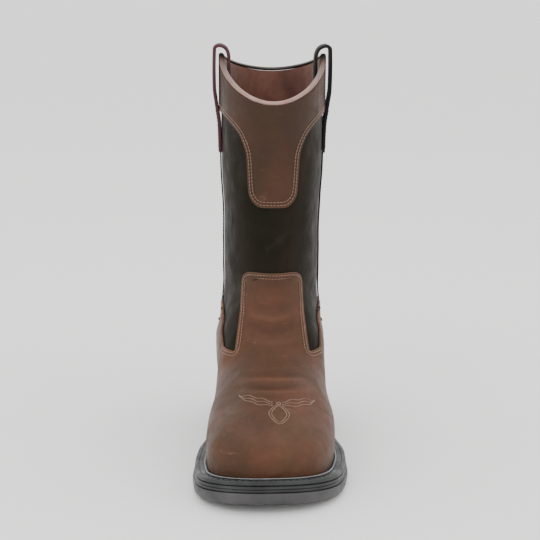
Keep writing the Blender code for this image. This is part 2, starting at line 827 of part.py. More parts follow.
def groove(points, faces, start, end, deep, width):
    """Adds a bar under the sole from start to end, both (across, along), deep into the tread."""
    start, end = np.array(start), np.array(end)
    run = (end - start) / np.linalg.norm(end - start)
    side = np.array([-run[1], run[0]]) * width / 2
    corners = [start - side, end - side, end + side, start + side]
    first = len(points)
    for lift in (None, deep):
        for across, along in corners:
            up = -0.02 if lift is None else under_outsole(along)[0] + lift
            points.append((across, along, up))
    box = [(0, 1, 2, 3), (4, 5, 6, 7), (0, 1, 5, 4), (1, 2, 6, 5), (2, 3, 7, 6), (3, 0, 4, 7)]
    faces += [[first + i for i in face] for face in box]


def ball_grooves():
    """Swept grooves that part the ball's tread into lugs on either side of a centre bar."""
    points, faces = [], []
    first, last = FIRST_GROOVE * UPPER_LENGTH, LAST_GROOVE * UPPER_LENGTH
    count = max(2, round((last - first) / LUG_PITCH))
    for i in range(count + 1):
        along = first + (last - first) * i / count
        for side in (-1, 1):
            start = side * CENTRE_BAR, along
            end = side * BALL_WIDTH, along - LUG_SWEEP * (BALL_WIDTH - CENTRE_BAR)
            groove(points, faces, start, end, LUG_DEPTH, LUG_GAP)
    return solid("ball_grooves", points, faces)


def heel_grooves():
    points, faces = [], []
    for share in (0.34, 0.62):
        along = share * HEEL_LENGTH
        for side in (-1, 1):
            start = side * CENTRE_BAR, along
            groove(points, faces, start, (side * BALL_WIDTH, along), 0, LUG_GAP)
    for i, point in enumerate(points):
        if point[2] > 0:
            points[i] = (*point[:2], LUG_DEPTH)
    return solid("heel_grooves", points, faces)


def outsole(rubber):
    def ring(grow, height):
        return at_height(outline(SOLE_EDGE + grow, 1), height)

    rings = [
        ring(-TREAD_TAPER, under_outsole),
        ring(-0.0003, lambda along: under_outsole(along) + 0.0025),
        ring(0, lambda along: top_of_outsole(along) - 0.0012),
        ring(-0.0007, top_of_outsole),
    ]
    made = stack("outsole", rings, rubber)
    boolean(made, "DIFFERENCE", ball_grooves())
    return made


def heel(rubber):
    """The heel block, tapered to the floor, under the back of the outsole."""
    top = 2 * HEEL_BLOCK
    low = np.insert(outline(SOLE_EDGE - HEEL_TAPER, 1), 2, 0.0, axis=1)
    high = np.insert(outline(SOLE_EDGE + HEEL_TAPER - 2 * TREAD_TAPER, 1), 2, top, axis=1)
    made = stack("heel", [low, high], rubber)
    stations = np.linspace(HEEL_LENGTH, -0.03, 12)
    side = [(-0.03, -0.01), (HEEL_LENGTH - 0.003, -0.01)]
    side += [(along, under_outsole(along)[0] - GAP) for along in stations]
    boolean(made, "INTERSECT", prism("heel_side_outline", side, -REACH, REACH, 0))
    boolean(made, "DIFFERENCE", heel_grooves())
    return made


def centre_on_floor():
    """Moves the boot so that the middle of its box stands at the origin."""
    bpy.context.view_layer.update()
    graph = bpy.context.evaluated_depsgraph_get()
    corners = []
    for made in bpy.context.scene.objects:
        if made.type == "MESH" and not made.hide_render:
            mesh = made.evaluated_get(graph).data
            flat = np.empty(3 * len(mesh.vertices), np.float32)
            mesh.vertices.foreach_get("co", flat)
            corners += [flat.reshape(-1, 3).min(axis=0), flat.reshape(-1, 3).max(axis=0)]
    low, high = np.min(corners, axis=0), np.max(corners, axis=0)
    bpy.data.objects["boot"].location = (-(low[0] + high[0]) / 2, -(low[1] + high[1]) / 2, 0)


def main():
    for made in list(bpy.data.objects):
        bpy.data.objects.remove(made, do_unlink=True)
    boot = bpy.data.objects.new("boot", None)
    bpy.context.scene.collection.objects.link(boot)
    brown = material("brown_leather", (0.115, 0.055, 0.036), 0.55)
    black = material("black_leather", (0.025, 0.021, 0.014), 0.45)
    edge = material("edge_leather", (0.19, 0.10, 0.075), 0.5)
    webbing = material("strap_leather", (0.02, 0.018, 0.018), 0.6)
    rubber = material("black_rubber", (0.018, 0.018, 0.020), 0.5)
    grey = material("grey_rubber", (0.045, 0.045, 0.050), 0.55)
    board = material("insole_board", (0.10, 0.07, 0.05), 0.8)
    upper_wall(black)
    vamp(brown)
    counter(brown)
    collars(brown)
    collar_binding(edge)
    for name, side in (("medial", -1), ("lateral", 1)):
        pull_strap(f"pull_strap_{name}", side, webbing)
        side_seam(f"side_seam_{name}", side, black)
    insole(board)
    welt(grey)
    midsole(rubber)
    outsole(grey)
    heel(grey)
    centre_on_floor()


main()
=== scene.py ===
"""The looks of a left western work boot: its leathers, lining, thread and rubber, over the frame's solids.

Points are worked out as (across, along, up): across is +X, towards the little toe, along is measured
from the back of the heel to the toe, and up is the height above the floor.
"""

import contextlib
import functools
import math

import bpy
import numpy as np
from mathutils import Matrix, Vector
from mathutils.bvhtree import BVHTree


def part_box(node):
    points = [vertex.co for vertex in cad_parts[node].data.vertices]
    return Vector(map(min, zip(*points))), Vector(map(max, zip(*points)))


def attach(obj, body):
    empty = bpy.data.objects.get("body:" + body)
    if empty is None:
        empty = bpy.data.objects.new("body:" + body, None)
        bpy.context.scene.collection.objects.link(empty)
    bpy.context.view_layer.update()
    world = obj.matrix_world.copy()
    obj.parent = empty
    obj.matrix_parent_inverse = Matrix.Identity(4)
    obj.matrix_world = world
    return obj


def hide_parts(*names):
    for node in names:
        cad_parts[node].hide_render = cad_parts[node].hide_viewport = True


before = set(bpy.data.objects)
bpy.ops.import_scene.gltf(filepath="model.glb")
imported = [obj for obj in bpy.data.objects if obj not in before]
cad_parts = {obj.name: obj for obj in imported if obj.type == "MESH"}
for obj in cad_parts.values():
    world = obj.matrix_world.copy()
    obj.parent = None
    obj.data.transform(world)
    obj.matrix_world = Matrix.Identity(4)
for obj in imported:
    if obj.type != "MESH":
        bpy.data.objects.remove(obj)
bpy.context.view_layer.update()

# Upper, in metres
UPPER_LENGTH = 0.294
BALL_WIDTH = 0.100
INSTEP_RISE = 0.080
SHAFT_DEPTH = 0.146
SHAFT_WIDTH = 0.089
ANKLE_RISE = 0.120
EAR_HEIGHT = 0.3315
FRONT_DIP = 0.036
BACK_DIP = 0.0165
SEAM_STATION = 0.077
WALL = 0.0022
OVERLAY = 0.0015
GAP = 0.0003
STAND = 0.0005
TOE_SLANT = 0.16
TOE_POLE_RISE = 0.016
TOE_CORNER = 0.022
MEDIAL_CORNER = 2.4
LATERAL_CORNER = 2.65
TOE_PROFILE = 2.3
TOE_KEEL = 5.0

# Layers round the collar: heights are drops below the ears, in metres
SHIELD_HALF = 0.0205
SHIELD_DROP = 0.1215
SHOULDER_DROP = 0.0755
COLLAR_SIDE_DROP = 0.0445
COLLAR_BACK_DROP = 0.0695
STRAP_WIDTH = 0.028
STRAP_THICK = 0.0026
STRAP_DROP = 0.0815
STRAP_INNER_DROP = 0.0515

# Sole, in metres
WELT_THICK = 0.0035
MIDSOLE_THICK = 0.005
OUTSOLE_THICK = 0.009
HEEL_BLOCK = 0.026
HEEL_LENGTH = 0.072
TOE_SPRING = 0.009
WELT_MARGIN = 0.0115
WELT_UNDER_UPPER = 0.004
INSOLE_THICK = 0.003
INSOLE_CLEARANCE = 0.0012
LUG_DEPTH = 0.004

# Mesh fineness
COLUMNS = 24
TOE_ROWS = 5
FOOT_ROWS = 18
SHAFT_ROWS = 11
OUTLINE_POINTS = 240
HEEL_FINENESS = (1.8, 1, 1)
FINE = 240

# Underside of the sole: station as a share of the upper's length, height as a share of the heel block
# or the toe spring, and thickness as a share of the outsole's.
TREAD = (
    # station, of heel block, of toe spring, thickness
    (-0.03, 1.00, 0.00, 0.67),
    (0.18, 1.00, 0.00, 0.67),
    (0.25, 0.95, 0.00, 0.67),
    (0.33, 0.77, 0.00, 0.67),
    (0.42, 0.45, 0.00, 0.72),
    (0.51, 0.15, 0.00, 0.85),
    (0.60, 0.00, 0.00, 1.00),
    (0.82, 0.00, 0.00, 1.00),
    (0.90, 0.00, 0.18, 1.00),
    (0.97, 0.00, 0.50, 1.00),
    (1.05, 0.00, 1.00, 1.00),
)

# Forefoot sections, upright planes. Stations run from the shaft's front (0) to the toe tip (1), the rise
# is a share of the instep's, half widths are shares of the ball width, and widest is the share of the
# section's height at which it is widest.
FOOT = (
    # ridge station, sole station, rise, medial, lateral, widest, ridge power, sole power
    (0.70, 0.70, 0.56, 0.505, 0.455, 0.44, 2.5, 4.5),
    (0.58, 0.58, 0.61, 0.520, 0.480, 0.44, 2.4, 4.5),
    (0.40, 0.40, 0.71, 0.510, 0.490, 0.44, 2.3, 4.2),
    (0.23, 0.23, 0.84, 0.480, 0.470, 0.44, 2.1, 3.8),
    (0.115, 0.03, 1.00, 0.460, 0.450, 0.45, 2.0, 3.4),
)
SOLE_DROP = 0.13

# Ankle and shaft sections, planes that fan back round the heel and then lie level. Stations are shares of
# the shaft's depth. A level of 0 is the heel seat, 1 is the ankle rise and 2 the ears' height.
SHAFT = (
    # front, front level, back, back level, medial, lateral, widest, front power, back power
    (1.062, 0.64, 0.753, -0.178, 0.500, 0.500, 0.50, 2.0, 3.0),
    (1.034, 0.75, 0.411, -0.128, 0.520, 0.510, 0.48, 2.0, 2.8),
    (1.017, 0.85, 0.075, -0.112, 0.525, 0.515, 0.43, 2.0, 2.6),
    (1.007, 0.95, 0.007, 0.088, 0.490, 0.490, 0.41, 2.0, 2.4),
    (1.002, 1.026, 0.017, 0.363, 0.468, 0.468, 0.46, 2.1, 2.3),
    (1.000, 1.096, 0.045, 0.655, 0.461, 0.461, 0.49, 2.2, 2.2),
    (1.000, 1.194, 0.051, 0.988, 0.462, 0.462, 0.50, 2.2, 2.2),
    (1.000, 1.309, 0.041, 1.251, 0.470, 0.470, 0.50, 2.2, 2.2),
    (1.003, 1.453, 0.031, 1.453, 0.490, 0.490, 0.50, 2.2, 2.2),
    (1.014, 1.741, 0.017, 1.741, 0.497, 0.497, 0.50, 2.2, 2.2),
    (1.027, 2.000, 0.000, 2.000, 0.500, 0.500, 0.50, 2.2, 2.2),
)
LEVEL_ROW = len(FOOT) + 8

# Panels, straps, seams and sole edges, in metres
REACH = 0.2
TAB_TOP = 0.1545
TAB_HALF = 0.0255
WEDGE_HALF = 0.033
WEDGE_STATION = 0.142
WEDGE_HEIGHT = 0.090
WING_HEIGHT = 0.116
COUNTER_BACK = 0.124
SHIELD_FOOT = EAR_HEIGHT - SHIELD_DROP
SHIELD_SHOULDER = EAR_HEIGHT - SHOULDER_DROP
COLLAR_SIDE = EAR_HEIGHT - COLLAR_SIDE_DROP
COLLAR_BACK_FOOT = EAR_HEIGHT - COLLAR_BACK_DROP
BINDING_HALF = 0.0023
BINDING_HEIGHT = 0.0032
STRAP_FOOT = EAR_HEIGHT - STRAP_DROP
STRAP_INNER_FOOT = EAR_HEIGHT - STRAP_INNER_DROP
LOOP_RISE = 0.010
LOOP_HALF = 0.0062
SEAM_WIDTH = 0.006
SEAM_THICK = 0.0011
SOLE_EDGE = 0.0018
TREAD_TAPER = 0.0030
HEEL_TAPER = 0.004
GROOVE = 0.0016
LIP_START = 0.0029
LIP_LEAN = 0.25
LIP_WIDTH = 0.0014
LIP_RISE = 0.0014
LUG_PITCH = 0.017
LUG_GAP = 0.006
LUG_SWEEP = 0.35
FIRST_GROOVE = 0.605
LAST_GROOVE = 0.905
CENTRE_BAR = 0.009


def smooth(at, knots, values):
    """A curve through the values that never swings past them, read at each place in at."""
    knots = np.asarray(knots, float)
    values = np.asarray(values, float).reshape(len(knots), -1)
    steps = np.diff(knots)[:, None]
    secants = np.diff(values, axis=0) / steps
    slopes = np.empty_like(values)
    slopes[0], slopes[-1] = secants[0], secants[-1]
    before, after = secants[:-1], secants[1:]
    same_way = before * after > 0
    mean = 2 * before * after / np.where(same_way, before + after, 1)
    slopes[1:-1] = np.where(same_way, mean, 0)
    at = np.clip(np.atleast_1d(at), knots[0], knots[-1])
    i = np.clip(np.searchsorted(knots, at, side="right") - 1, 0, len(knots) - 2)
    step = steps[i]
    f = (at[:, None] - knots[i][:, None]) / step
    rise = values[i] * (1 + 2 * f) * (1 - f) ** 2 + values[i + 1] * f * f * (3 - 2 * f)
    turn = slopes[i] * f * (1 - f) ** 2 - slopes[i + 1] * f * f * (1 - f)
    return rise + step * turn


def tread(along):
    """Height of the outsole's underside, and the outsole's thickness, at each station."""
    rows = np.array(TREAD)
    height = rows[:, 1] * HEEL_BLOCK + rows[:, 2] * TOE_SPRING
    thickness = rows[:, 3] * OUTSOLE_THICK
    found = smooth(along, rows[:, 0] * UPPER_LENGTH, np.column_stack([height, thickness]))
    return found[:, 0], found[:, 1]


def under_outsole(along):
    return tread(along)[0]


def top_of_outsole(along):
    height, thickness = tread(along)
    return height + thickness


def under_midsole(along):
    return top_of_outsole(along) + GAP


def top_of_midsole(along):
    return under_midsole(along) + MIDSOLE_THICK


def under_welt(along):
    return top_of_midsole(along) + STAND


def seat(along):
    """Height of the welt's top, on which the upper stands."""
    return under_welt(along) + WELT_THICK


def section_table():
    """Every section as front along, front up, back along, back up, half widths, widest and powers."""
    reach = UPPER_LENGTH - SHAFT_DEPTH
    heel_seat = seat(0.0)[0]
    rows = []
    for ridge, sole, rise, medial, lateral, widest, ridge_power, sole_power in FOOT:
        front = SHAFT_DEPTH + ridge * reach
        back = SHAFT_DEPTH + sole * reach
        front_up = seat(front)[0] + rise * INSTEP_RISE
        back_up = seat(back)[0] - SOLE_DROP * INSTEP_RISE
        half = medial * BALL_WIDTH, lateral * BALL_WIDTH
        rows.append((front, front_up, back, back_up, *half, widest, ridge_power, sole_power))
    leg = EAR_HEIGHT - heel_seat - ANKLE_RISE
    for front, front_level, back, back_level, medial, lateral, *rest in SHAFT:
        ups = [
            heel_seat + min(level, 1) * ANKLE_RISE + max(level - 1, 0) * leg
            for level in (front_level, back_level)
        ]
        half = medial * SHAFT_WIDTH, lateral * SHAFT_WIDTH
        rows.append((front * SHAFT_DEPTH, ups[0], back * SHAFT_DEPTH, ups[1], *half, *rest))
    return np.array(rows)


SECTIONS = section_table()
TOP_ROW = len(SECTIONS) - 1


@functools.cache
def section(t):
    return smooth(t, np.arange(len(SECTIONS)), SECTIONS)[0]


def slanted(points):
    """Moves the toe's inner side forward and its outer side back, and keeps each point above its seat."""
    across, along, up = points.T
    start, end = 0.66 * UPPER_LENGTH, 0.92 * UPPER_LENGTH
    if (along <= start).all():
        return points
    f = np.clip((along - start) / (end - start), 0, 1)
    moved = along - TOE_SLANT * across * f * f * (3 - 2 * f)
    return np.column_stack([across, moved, up + seat(moved) - seat(along)])


def ring_points(t, angles):
    """Points of section t at angles from its front, positive towards the little toe."""
    front, front_up, back, back_up, medial, lateral, widest, front_power, back_power = section(t)
    centre = np.array([back + widest * (front - back), back_up + widest * (front_up - back_up)])
    axis = np.array([front, front_up]) - np.array([back, back_up])
    length = np.linalg.norm(axis)
    sines, cosines = np.sin(angles), np.cos(angles)
    power = np.where(cosines > 0, front_power, back_power)
    scale = (np.abs(sines) ** power + np.abs(cosines) ** power) ** (-1 / power)
    half = np.where(sines > 0, lateral, medial)
    reach = np.where(cosines > 0, 1 - widest, widest) * length
    side = centre + np.outer(reach * cosines * scale, axis / length)
    points = np.column_stack([half * sines * scale, side])
    if t > LEVEL_ROW:
        base, top = SECTIONS[LEVEL_ROW][1], SECTIONS[TOP_ROW][1]
        dip = np.where(cosines > 0, FRONT_DIP, BACK_DIP) * np.abs(cosines) ** 1.3
        share = (points[:, 2] - base) / (top - base)
        points[:, 2] = base + share * (EAR_HEIGHT - dip - base)
    return slanted(points)


def feather_angle(t, side):
    """Angle at which section t meets the seat, or half a turn where it stays above it."""

    def above(angle):
        point = ring_points(t, np.array([side * angle]))[0]
        return point[2] - seat(point[1])[0] - STAND

    if t > LEVEL_ROW or above(math.pi) >= 0:
        return math.pi
    low, high = math.pi / 2, math.pi
    for _ in range(40):
        middle = (low + high) / 2
        if above(middle) > 0:
            low = middle
        else:
            high = middle
    return low


def toe_curve(tilt, angles):
    """Arc over the toe in a plane tilted from level (0) to upright (1), cast out from inside the toe."""
    first, second = section(0.0), section(0.2)
    start = first[0]
    step = first[0] - second[0]
    width_slopes = (first[4:6] - second[4:6]) / step
    rises = [row[1] - seat(row[0])[0] for row in (first, second)]
    rise_slope = (rises[0] - rises[1]) / step
    drop = first[3] - seat(start)[0]
    origin = start + (UPPER_LENGTH - TOE_CORNER - start) * (1 - tilt)
    lean = tilt * math.pi / 2
    turn = np.column_stack(
        [np.sin(angles), np.cos(angles) * math.cos(lean), np.cos(angles) * math.sin(lean)]
    )

    def inside(points):
        across, along, up = points.T
        share = np.clip((along - start) / (UPPER_LENGTH - start), 0, 1)
        powers = (np.where(across > 0, LATERAL_CORNER, MEDIAL_CORNER), TOE_PROFILE, TOE_KEEL)
        plan, profile, keel = [(1 - share**power) ** (1 / power) for power in powers]
        past = along - start
        side = np.where(across > 0, first[5] + width_slopes[1] * past, first[4] + width_slopes[0] * past)
        top = TOE_POLE_RISE + (rises[0] + rise_slope * past - TOE_POLE_RISE) * profile
        low = TOE_POLE_RISE + (drop - TOE_POLE_RISE) * keel
        middle = low + first[6] * (top - low)
        power = np.where(up > middle, first[7], first[8])
        reach = np.maximum(np.where(up > middle, top - middle, middle - low), 1e-6)
        wide = np.maximum(side * plan, 1e-6)
        size = (np.abs(across) / wide) ** power + (np.abs(up - middle) / reach) ** power
        return (size < 1) & (along < UPPER_LENGTH)

    near, far = np.zeros(len(angles)), np.full(len(angles), 0.15)
    centre = np.array([0, origin, STAND])
    for _ in range(40):
        middle = (near + far) / 2
        hit = inside(centre + turn * middle[:, None])
        near, far = np.where(hit, middle, near), np.where(hit, far, middle)
    points = centre + turn * near[:, None]
    points[:, 2] += seat(points[:, 1])
    return slanted(points)


def evenly(line, count, values=None):
    """The line's points, or the values that go with them, at equal steps along it."""
    steps = np.linalg.norm(np.diff(line, axis=0), axis=1)
    along = np.concatenate([[0], np.cumsum(steps)])
    wanted = np.linspace(0, along[-1], count)
    columns = line.T if values is None else values.T
    return np.column_stack([np.interp(wanted, along, column) for column in columns])


def row(t, columns=COLUMNS):
    """One row of the upper, from its inner end over the front to its outer end. Below 0, t is the toe."""
    halves = []
    for side in (-1, 1):
        if t < 0:
            half = toe_curve(t + 1, side * np.linspace(0, math.pi / 2, FINE))
        else:
            half = ring_points(t, side * np.linspace(0, feather_angle(t, side), FINE))
        halves.append(evenly(half, columns // 2 + 1))
    return np.concatenate([halves[0][::-1], halves[1][1:]])


def closing_row():
    """The t at which the sections stop meeting the seat, at the back of the heel."""
    low, high = float(len(FOOT)), float(LEVEL_ROW)
    for _ in range(40):
        middle = (low + high) / 2
        if feather_angle(middle, 1) < math.pi:
            low = middle
        else:
            high = middle
    return high


CLOSING = closing_row()


def feather_ends(count):
    """Where the rows from the toe box to the heel's back meet the seat, and their t."""
    ts = np.linspace(0, CLOSING, count)
    ends = [
        [ring_points(t, np.array([side * feather_angle(t, side)]))[0] for side in (-1, 1)] for t in ts
    ]
    return ts, np.array(ends)


def row_places(fineness):
    """The t of each row: even steps of the feather line, closer round the heel, and then of the shaft."""
    ts, ends = feather_ends(FINE)
    steps = np.linalg.norm(np.diff(ends, axis=0) * HEEL_FINENESS, axis=2).sum(axis=1)
    run = np.concatenate([[0], np.cumsum(steps)])
    foot = np.interp(np.linspace(0, run[-1], FOOT_ROWS * fineness + 1), run, ts)
    backs = np.linspace(CLOSING, TOP_ROW, FINE)
    line = np.array([ring_points(t, np.array([math.pi]))[0] for t in backs])
    front = np.array([ring_points(t, np.array([0.0]))[0] for t in backs])
    steps = np.linalg.norm(np.diff(line, axis=0), axis=1) + np.linalg.norm(np.diff(front, axis=0), axis=1)
    run = np.concatenate([[0], np.cumsum(steps)])
    shaft = np.interp(np.linspace(0, run[-1], SHAFT_ROWS * fineness + 1), run, backs)
    toe = np.linspace(-1, 0, TOE_ROWS * fineness + 1)
    return np.concatenate([toe[:-1], foot, shaft[1:]])


def facets(rows, columns):
    """Triangles of a grid, as corners (row, column), mirrored about its middle column."""
    found = []
    for i in range(rows - 1):
        for j in range(columns - 1):
            a, b, c, d = (i, j), (i, j + 1), (i + 1, j + 1), (i + 1, j)
            if 2 * j < columns - 1:
                found += [(a, b, c), (a, c, d)]
            else:
                found += [(a, b, d), (b, c, d)]
    return np.array(found)


def outward(points, rings):
    """Outward direction at each point of the grid, level along its lower and upper edges."""
    normals = np.zeros_like(points)
    corners = facets(*points.shape[:2])
    a, b, c = [points[tuple(corners[:, k].T)] for k in range(3)]
    for k in range(3):
        np.add.at(normals, tuple(corners[:, k].T), np.cross(c - a, b - a))
    normals[rings, 0] = normals[rings, -1] = normals[rings, 0] + normals[rings, -1]
    edge = np.zeros(points.shape[:2], bool)
    edge[0] = edge[-1] = True
    edge[~rings, 0] = edge[~rings, -1] = True
    edge[np.flatnonzero(rings)[0], [0, -1]] = True
    normals[edge, 2] = 0
    return normals / np.linalg.norm(normals, axis=2, keepdims=True)


def feather_line():
    """The upper's foot on the seat, from the heel's back round the inner side, the toe and the outer side."""
    ends = feather_ends(FINE)[1][::-1, :, :2]
    corners = np.array([row(t)[[0, -1], :2] for t in np.linspace(0, -1, TOE_ROWS * 3)])
    front = row(-1.0)[:, :2]
    inner = np.concatenate([ends[:, 0], corners[1:, 0], front[1 : COLUMNS // 2 + 1]])
    outer = np.concatenate([ends[:, 1], corners[1:, 1], front[::-1][1 : COLUMNS // 2 + 1]])
    return inner, outer


FEATHER = feather_line()

# Welt's margin round the upper, as a share of WELT_MARGIN, at shares of the upper's length
MARGIN = ((0.00, 0.56), (0.20, 0.54), (0.42, 0.52), (0.58, 0.95), (0.70, 1.02), (1.00, 0.98))


def outline(grow, margin=1.0):
    """Closed outline at the feather line plus margin times the welt's margin, plus grow."""
    half = OUTLINE_POINTS // 2
    inner, outer = [evenly(side, 4 * half + 1) for side in FEATHER]
    line = np.concatenate([inner, outer[::-1][1:-1]])
    run = np.roll(line, -1, axis=0) - np.roll(line, 1, axis=0)
    normals = np.column_stack([-run[:, 1], run[:, 0]]) / np.linalg.norm(run, axis=1)[:, None]
    share = smooth(line[:, 1] / UPPER_LENGTH, *np.array(MARGIN).T)[:, 0]
    moved = line + normals * (margin * share * WELT_MARGIN + grow)[:, None]
    toe = 4 * half
    sides = moved[: toe + 1], np.concatenate([moved[:1], moved[:toe - 1 : -1]])
    inner, outer = [evenly(side, half + 1) for side in sides]
    return np.concatenate([inner, outer[::-1][1:-1]])


def at_height(ring, height):
    return np.column_stack([ring, height(ring[:, 1])])


def rounded(corners, radius):
    """The closed outline with an arc of four points in place of each corner."""
    points = []
    corners = np.array(corners, float)
    for before, corner, after in zip(np.roll(corners, 1, 0), corners, np.roll(corners, -1, 0)):
        a, b = before - corner, after - corner
        reach = min(radius, 0.45 * np.linalg.norm(a), 0.45 * np.linalg.norm(b))
        start = corner + a / np.linalg.norm(a) * reach
        end = corner + b / np.linalg.norm(b) * reach
        for f in (0, 1 / 3, 2 / 3, 1):
            points.append((1 - f) ** 2 * start + 2 * f * (1 - f) * corner + f * f * end)
    return points


def on_side(along, up, side):
    """Point of the upper beside the given station and height, and its outward direction."""
    t, angle = 10.0, side * math.pi / 2
    step = 1e-4
    up = min(up, EAR_HEIGHT - 0.001)
    for _ in range(12):
        here = ring_points(t, np.array([angle]))[0]
        by_t = (ring_points(t - step, np.array([angle]))[0] - here) / -step
        by_angle = (ring_points(t, np.array([angle + step]))[0] - here) / step
        error = np.array([along, up]) - here[1:]
        change = np.linalg.solve(np.column_stack([by_t[1:], by_angle[1:]]), error)
        t = float(np.clip(t + np.clip(change[0], -2, 2), len(FOOT), TOP_ROW))
        angle += float(np.clip(change[1], -0.5, 0.5))
    out = np.cross(by_t, by_angle)
    out *= side * np.sign(out[0])
    return here, out / np.linalg.norm(out)


# From the boot's own measures to the room, whose origin is under the middle of the boot's box


def room_shift():
    line = outline(SOLE_EDGE, 1)
    low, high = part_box("outsole")
    across = (low[0] + high[0] - line[:, 0].min() - line[:, 0].max()) / 2
    along = (low[1] + high[1] + line[:, 1].min() + line[:, 1].max()) / 2
    return np.array([across, along, 0.0])


ROOM_SHIFT = room_shift()


TO_ROOM = np.array([1.0, -1.0, 1.0])


def in_room(points):
    return np.asarray(points, float) * TO_ROOM + ROOM_SHIFT


def from_room(points):
    return (np.asarray(points, float) - ROOM_SHIFT) * TO_ROOM


# Creases, as troughs between two low ridges. Each runs through three points (across, along, up).
CREASES = (
    # start, middle, end, half width, depth
    ((-0.038, 0.200, 0.056), (0.002, 0.2125, 0.0750), (0.042, 0.190, 0.050), 0.0046, 0.0008),
    ((-0.036, 0.186, 0.062), (0.004, 0.1960, 0.0810), (0.040, 0.172, 0.058), 0.0042, 0.0005),
    ((-0.024, 0.225, 0.064), (0.006, 0.2270, 0.0710), (0.030, 0.212, 0.060), 0.0036, 0.0003),
    ((-0.030, 0.148, 0.113), (0.000, 0.1620, 0.1085), (0.030, 0.148, 0.113), 0.0056, 0.0007),
    ((-0.026, 0.144, 0.130), (0.000, 0.1550, 0.1245), (0.026, 0.144, 0.130), 0.0050, 0.0004),
    ((-0.032, 0.138, 0.116), (-0.044, 0.095, 0.098), (-0.041, 0.045, 0.104), 0.0065, 0.0006),
    ((0.032, 0.138, 0.116), (0.044, 0.095, 0.098), (0.041, 0.045, 0.104), 0.0065, 0.0005),
    ((-0.036, 0.122, 0.146), (-0.042, 0.077, 0.134), (-0.034, 0.033, 0.141), 0.0080, 0.0004),
    ((0.036, 0.124, 0.142), (0.042, 0.080, 0.131), (0.034, 0.030, 0.138), 0.0080, 0.0004),
    ((-0.024, 0.014, 0.151), (0.000, 0.0065, 0.146), (0.024, 0.014, 0.152), 0.0070, 0.0006),
    ((-0.022, 0.013, 0.178), (0.002, 0.0060, 0.172), (0.022, 0.013, 0.176), 0.0080, 0.0004),
    ((-0.034, 0.128, 0.186), (-0.044, 0.085, 0.196), (-0.036, 0.035, 0.188), 0.0120, 0.0003),
    ((0.030, 0.136, 0.196), (0.044, 0.090, 0.184), (0.038, 0.040, 0.194), 0.0120, 0.0003),
    ((-0.030, 0.142, 0.226), (-0.002, 0.148, 0.214), (0.028, 0.142, 0.224), 0.0130, 0.0004),
)
RIDGE = 0.45
RIDGE_PLACE = 1.9


def crease_depth(points):
    """How deep each point lies in the creases, below 0 on their ridges."""
    flat = points.reshape(-1, 3)
    depth = np.zeros(len(flat))
    for start, middle, end, width, deep in CREASES:
        knots = np.array([start, middle, end])
        run = smooth(np.linspace(0, 2, 25), [0, 1, 2], knots)
        far = np.full(len(flat), np.inf)
        share = np.zeros(len(flat))
        for k, (a, b) in enumerate(zip(run[:-1], run[1:])):
            step = b - a
            f = np.clip((flat - a) @ step / (step @ step), 0, 1)
            reach = np.linalg.norm(flat - a - f[:, None] * step, axis=1)
            nearer = reach < far
            far[nearer] = reach[nearer]
            share[nearer] = (k + f[nearer]) / (len(run) - 1)
        taper = np.sin(np.pi * np.clip(share, 0.02, 0.98)) ** 0.8
        trough = np.exp(-((far / width) ** 2))
        ridge = np.exp(-(((far - RIDGE_PLACE * width) / (0.8 * width)) ** 2))
        depth += deep * taper * (trough - RIDGE * ridge)
    return depth.reshape(points.shape[:-1])


def worn_surface(fineness):
    """The last's surface with its creases: points, outward directions and crease depths."""
    places = row_places(fineness)
    points = np.array([row(t, COLUMNS * fineness) for t in places])
    rings = places >= CLOSING
    out = outward(points, rings)
    depth = crease_depth(points)
    return points - depth[..., None] * out, out, depth


# Outlines of the leather panels: signed gaps, below 0 inside, with their slopes


def polygon_gap(flat, corners):
    corners = np.asarray(corners, float)
    best = np.full(len(flat), np.inf)
    slope = np.zeros((len(flat), 2))
    inside = np.zeros(len(flat), bool)
    for a, b in zip(corners, np.roll(corners, -1, axis=0)):
        run = b - a
        share = np.clip((flat - a) @ run / max(run @ run, 1e-12), 0, 1)
        away = flat - (a + share[:, None] * run)
        far = np.linalg.norm(away, axis=1)
        nearer = far < best
        best[nearer] = far[nearer]
        slope[nearer] = away[nearer] / np.maximum(far[nearer], 1e-9)[:, None]
        spans = (a[1] > flat[:, 1]) != (b[1] > flat[:, 1])
        rise = run[1] if run[1] else 1e-12
        inside ^= spans & (flat[:, 0] < a[0] + (flat[:, 1] - a[1]) * run[0] / rise)
    sign = np.where(inside, -1.0, 1.0)
    return best * sign, slope * sign[:, None]


def seen_along(axis, points, corners):
    """The gap to an outline drawn as seen along an axis: 0 from the side, 1 from the front."""
    gap, slope = polygon_gap(np.delete(points, axis, axis=1), corners)
    return gap, np.insert(slope, axis, 0.0, axis=1)


def beyond(points, station, way):
    """Below 0 where a point lies past the station, towards the toe (way 1) or the heel (way -1)."""
    slope = np.tile([0.0, -float(way), 0.0], (len(points), 1))
    return way * (station - points[:, 1]), slope


def both(first, second, way=1):
    """The gap to what lies in both outlines, or in either of them where way is -1."""
    pick = way * first[0] > way * second[0]
    return np.where(pick, first[0], second[0]), np.where(pick[:, None], first[1], second[1])


